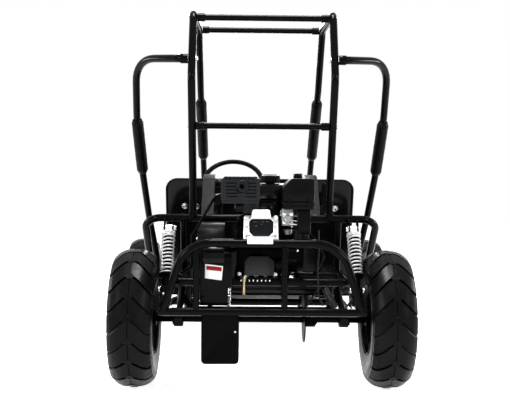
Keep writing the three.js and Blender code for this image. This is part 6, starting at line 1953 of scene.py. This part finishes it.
            outline = [(14, -16), (40, -13), (96, -11), (124, -13), (124, 13), (96, 11), (40, 13), (14, 16)]
            plate = sheet_metal("spoke", outline, place, -way * 5.4 * MM, 1)
            tools = [rod("hole", place(u, 0) - way * 0.02, place(u, 0) + way * 0.02, size, 24)
                     for u, size in ((58, 6.5), (78, 5.5), (97, 5))]
            plates.append(smooth(cut_away(plate, weld("holes", tools)), 30))
        hub = turned("hub", centre, [(-9, 0), (-9, 27), (5, 29), (9, 24), (11, 10), (11, 0)], way, 48)
        screws = []
        for cos, sin in circle(6, 0.3):
            spot = centre + (right * cos + up * sin) * 19 * MM + way * 8.5 * MM
            screws.append(rod("screw", spot, spot + way * 2.5 * MM, 2.8, 6, 0.4))
        assemble("steering_spokes", [*plates, hub, *screws], BLACK_COAT, "steering", "frame_paint")

    def pedal(self, node: str, x: float) -> None:
        """One pedal: pivot barrel, stem and ribbed foot plate."""
        y, z = self.pedal_pivot
        barrel = turned("barrel", at(x + 12, y, z),
                        [(0, 6.6), (0, 11), (1, 12), (11, 12), (12, 11), (12, 6.6)], RIGHT, 32)
        stem = block("stem", (x + 12.6, y - 6, z + 9), (x + 23.4, y + 6, z + 165), 2)
        plate = block("foot_plate", (x - 31, y - 12, z + 99), (x + 31, y - 6, z + 165), 2)
        assemble(f"{node}_lever", [barrel, stem, plate], DARK_STEEL, node, "bare_steel", node)
        ribs = [block("tread_rib", (x - 27, y - 13.6, low), (x + 27, y - 11.8, low + 5), 0.8)
                for low in (z + 104, z + 115, z + 126, z + 137, z + 148, z + 158)]
        assemble(f"{node}_rubber", ribs, BLACK_RUBBER, node, "black_rubber")


# Studio


@dataclass
class Studio:
    """Camera at the photograph's angle, soft lamps, and a pale floor and backdrop."""

    eye: Point = (-0.073, -3.638, 0.812)
    yaw: float = 0.91
    pitch: float = 3.10
    roll: float = 0.55
    lens: float = 60.7
    sensor: float = 36
    far: float = 60
    floor_size: float = 14.0
    floor_glow: float = 0.85
    world_light: float = 0.22

    def build(self) -> None:
        """Sets up the whole studio."""
        self.camera()
        self.world()
        self.floor()
        self.lamps()
        bpy.context.scene.view_settings.view_transform = "Standard"

    def camera(self) -> None:
        """The camera, turned, tipped and rolled as the photograph's was."""
        data = bpy.data.cameras.new("Camera")
        data.lens, data.sensor_width, data.clip_end = self.lens, self.sensor, self.far
        camera = bpy.data.objects.new("Camera", data)
        bpy.context.scene.collection.objects.link(camera)
        yaw, pitch, roll = (math.radians(value) for value in (self.yaw, self.pitch, self.roll))
        forward = Vector((math.sin(yaw) * math.cos(pitch), math.cos(yaw) * math.cos(pitch), -math.sin(pitch)))
        right = Vector((math.cos(yaw), -math.sin(yaw), 0))
        up = right.cross(forward)
        rolled_right = right * math.cos(roll) + up * math.sin(roll)
        rolled_up = up * math.cos(roll) - right * math.sin(roll)
        turn = Matrix((rolled_right, rolled_up, -forward)).transposed().to_4x4()
        camera.matrix_world = Matrix.Translation(self.eye) @ turn
        bpy.context.scene.camera = camera

    def seen(self, tree: Tree) -> Socket:
        """1 where the camera, a mirror-like surface or clear glass looks, 0 for light on the object."""
        path = tree.nodes.new("ShaderNodeLightPath").outputs
        total = combine(tree, "ADD", path["Is Camera Ray"], path["Is Glossy Ray"], True)
        return combine(tree, "ADD", total, path["Is Transmission Ray"], True)

    def blend(self, tree: Tree, unseen: Socket, seen: Socket, target: Socket) -> None:
        """Leads one shader to the target where the camera looks, and another for light on the object."""
        mix = tree.nodes.new("ShaderNodeMixShader")
        for number, socket in enumerate((self.seen(tree), unseen, seen)):
            tree.links.new(socket, mix.inputs[number])
        tree.links.new(mix.outputs[0], target)

    def world(self) -> None:
        """A soft grey world that shows as white."""
        world = bpy.data.worlds.new("studio")
        world.use_nodes = True
        bpy.context.scene.world = world
        tree = world.node_tree
        plain = tree.nodes["Background"]
        plain.inputs["Color"].default_value = WHITE
        plain.inputs["Strength"].default_value = self.world_light
        white = add_node(tree, "ShaderNodeBackground", {}, {"Color": WHITE, "Strength": 1.0})
        self.blend(tree, plain.outputs[0], white.outputs[0], tree.nodes["World Output"].inputs["Surface"])

    def floor(self) -> None:
        """A pale floor that keeps the kart's shadow and fades into the white around it."""
        deselect_all()
        bpy.ops.mesh.primitive_plane_add(size=self.floor_size)
        floor = settle("studio_floor")
        material = bpy.data.materials.new("pale_floor")
        material.use_nodes = True
        tree = material.node_tree
        shader = tree.nodes["Principled BSDF"]
        shader.inputs["Base Color"].default_value = (0.8, 0.8, 0.8, 1)
        shader.inputs["Roughness"].default_value = 0.9
        glow = add_node(tree, "ShaderNodeEmission", {}, {"Color": WHITE, "Strength": self.floor_glow})
        both = tree.nodes.new("ShaderNodeAddShader")
        tree.links.new(shader.outputs[0], both.inputs[0])
        tree.links.new(glow.outputs[0], both.inputs[1])
        self.blend(tree, shader.outputs[0], both.outputs[0], tree.nodes["Material Output"].inputs["Surface"])
        floor.data.materials.append(material)

    def lamps(self) -> None:
        """Large soft lamps: above, behind the camera on both sides, and low rims from the sides."""
        target = Vector((0, -0.3, 0.6))
        for name, place, size, watts in (
                ("top", (0.0, -0.6, 3.4), 1.0, 170), ("key_left", (-3.0, -3.4, 2.4), 0.9, 90),
                ("key_right", (3.0, -3.2, 2.1), 0.9, 75), ("side_left", (-3.6, 0.4, 1.3), 0.8, 55),
                ("side_right", (3.6, 0.4, 1.3), 0.8, 55), ("front", (0.0, 3.6, 2.2), 1.4, 60)):
            data = bpy.data.lights.new(name, "AREA")
            data.shape, data.size, data.energy = "SQUARE", size, watts
            lamp = bpy.data.objects.new(name, data)
            bpy.context.scene.collection.objects.link(lamp)
            lamp.location = place
            lamp.rotation_mode = "QUATERNION"
            lamp.rotation_quaternion = (target - Vector(place)).to_track_quat("-Z", "Y")


def main() -> None:
    """Builds the kart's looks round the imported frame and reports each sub-assembly."""
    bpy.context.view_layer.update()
    Studio().build()
    drive = Drive()
    for assembly in (Chassis(), RearBumper(), RollCage(), Seat(), Engine(), drive, RearSuspension(drive),
                     Shocks(), Wheels(), FrontEnd()):
        assembly.build()
        log.info("%s done", type(assembly).__name__)


if __name__ == "__main__":
    main()
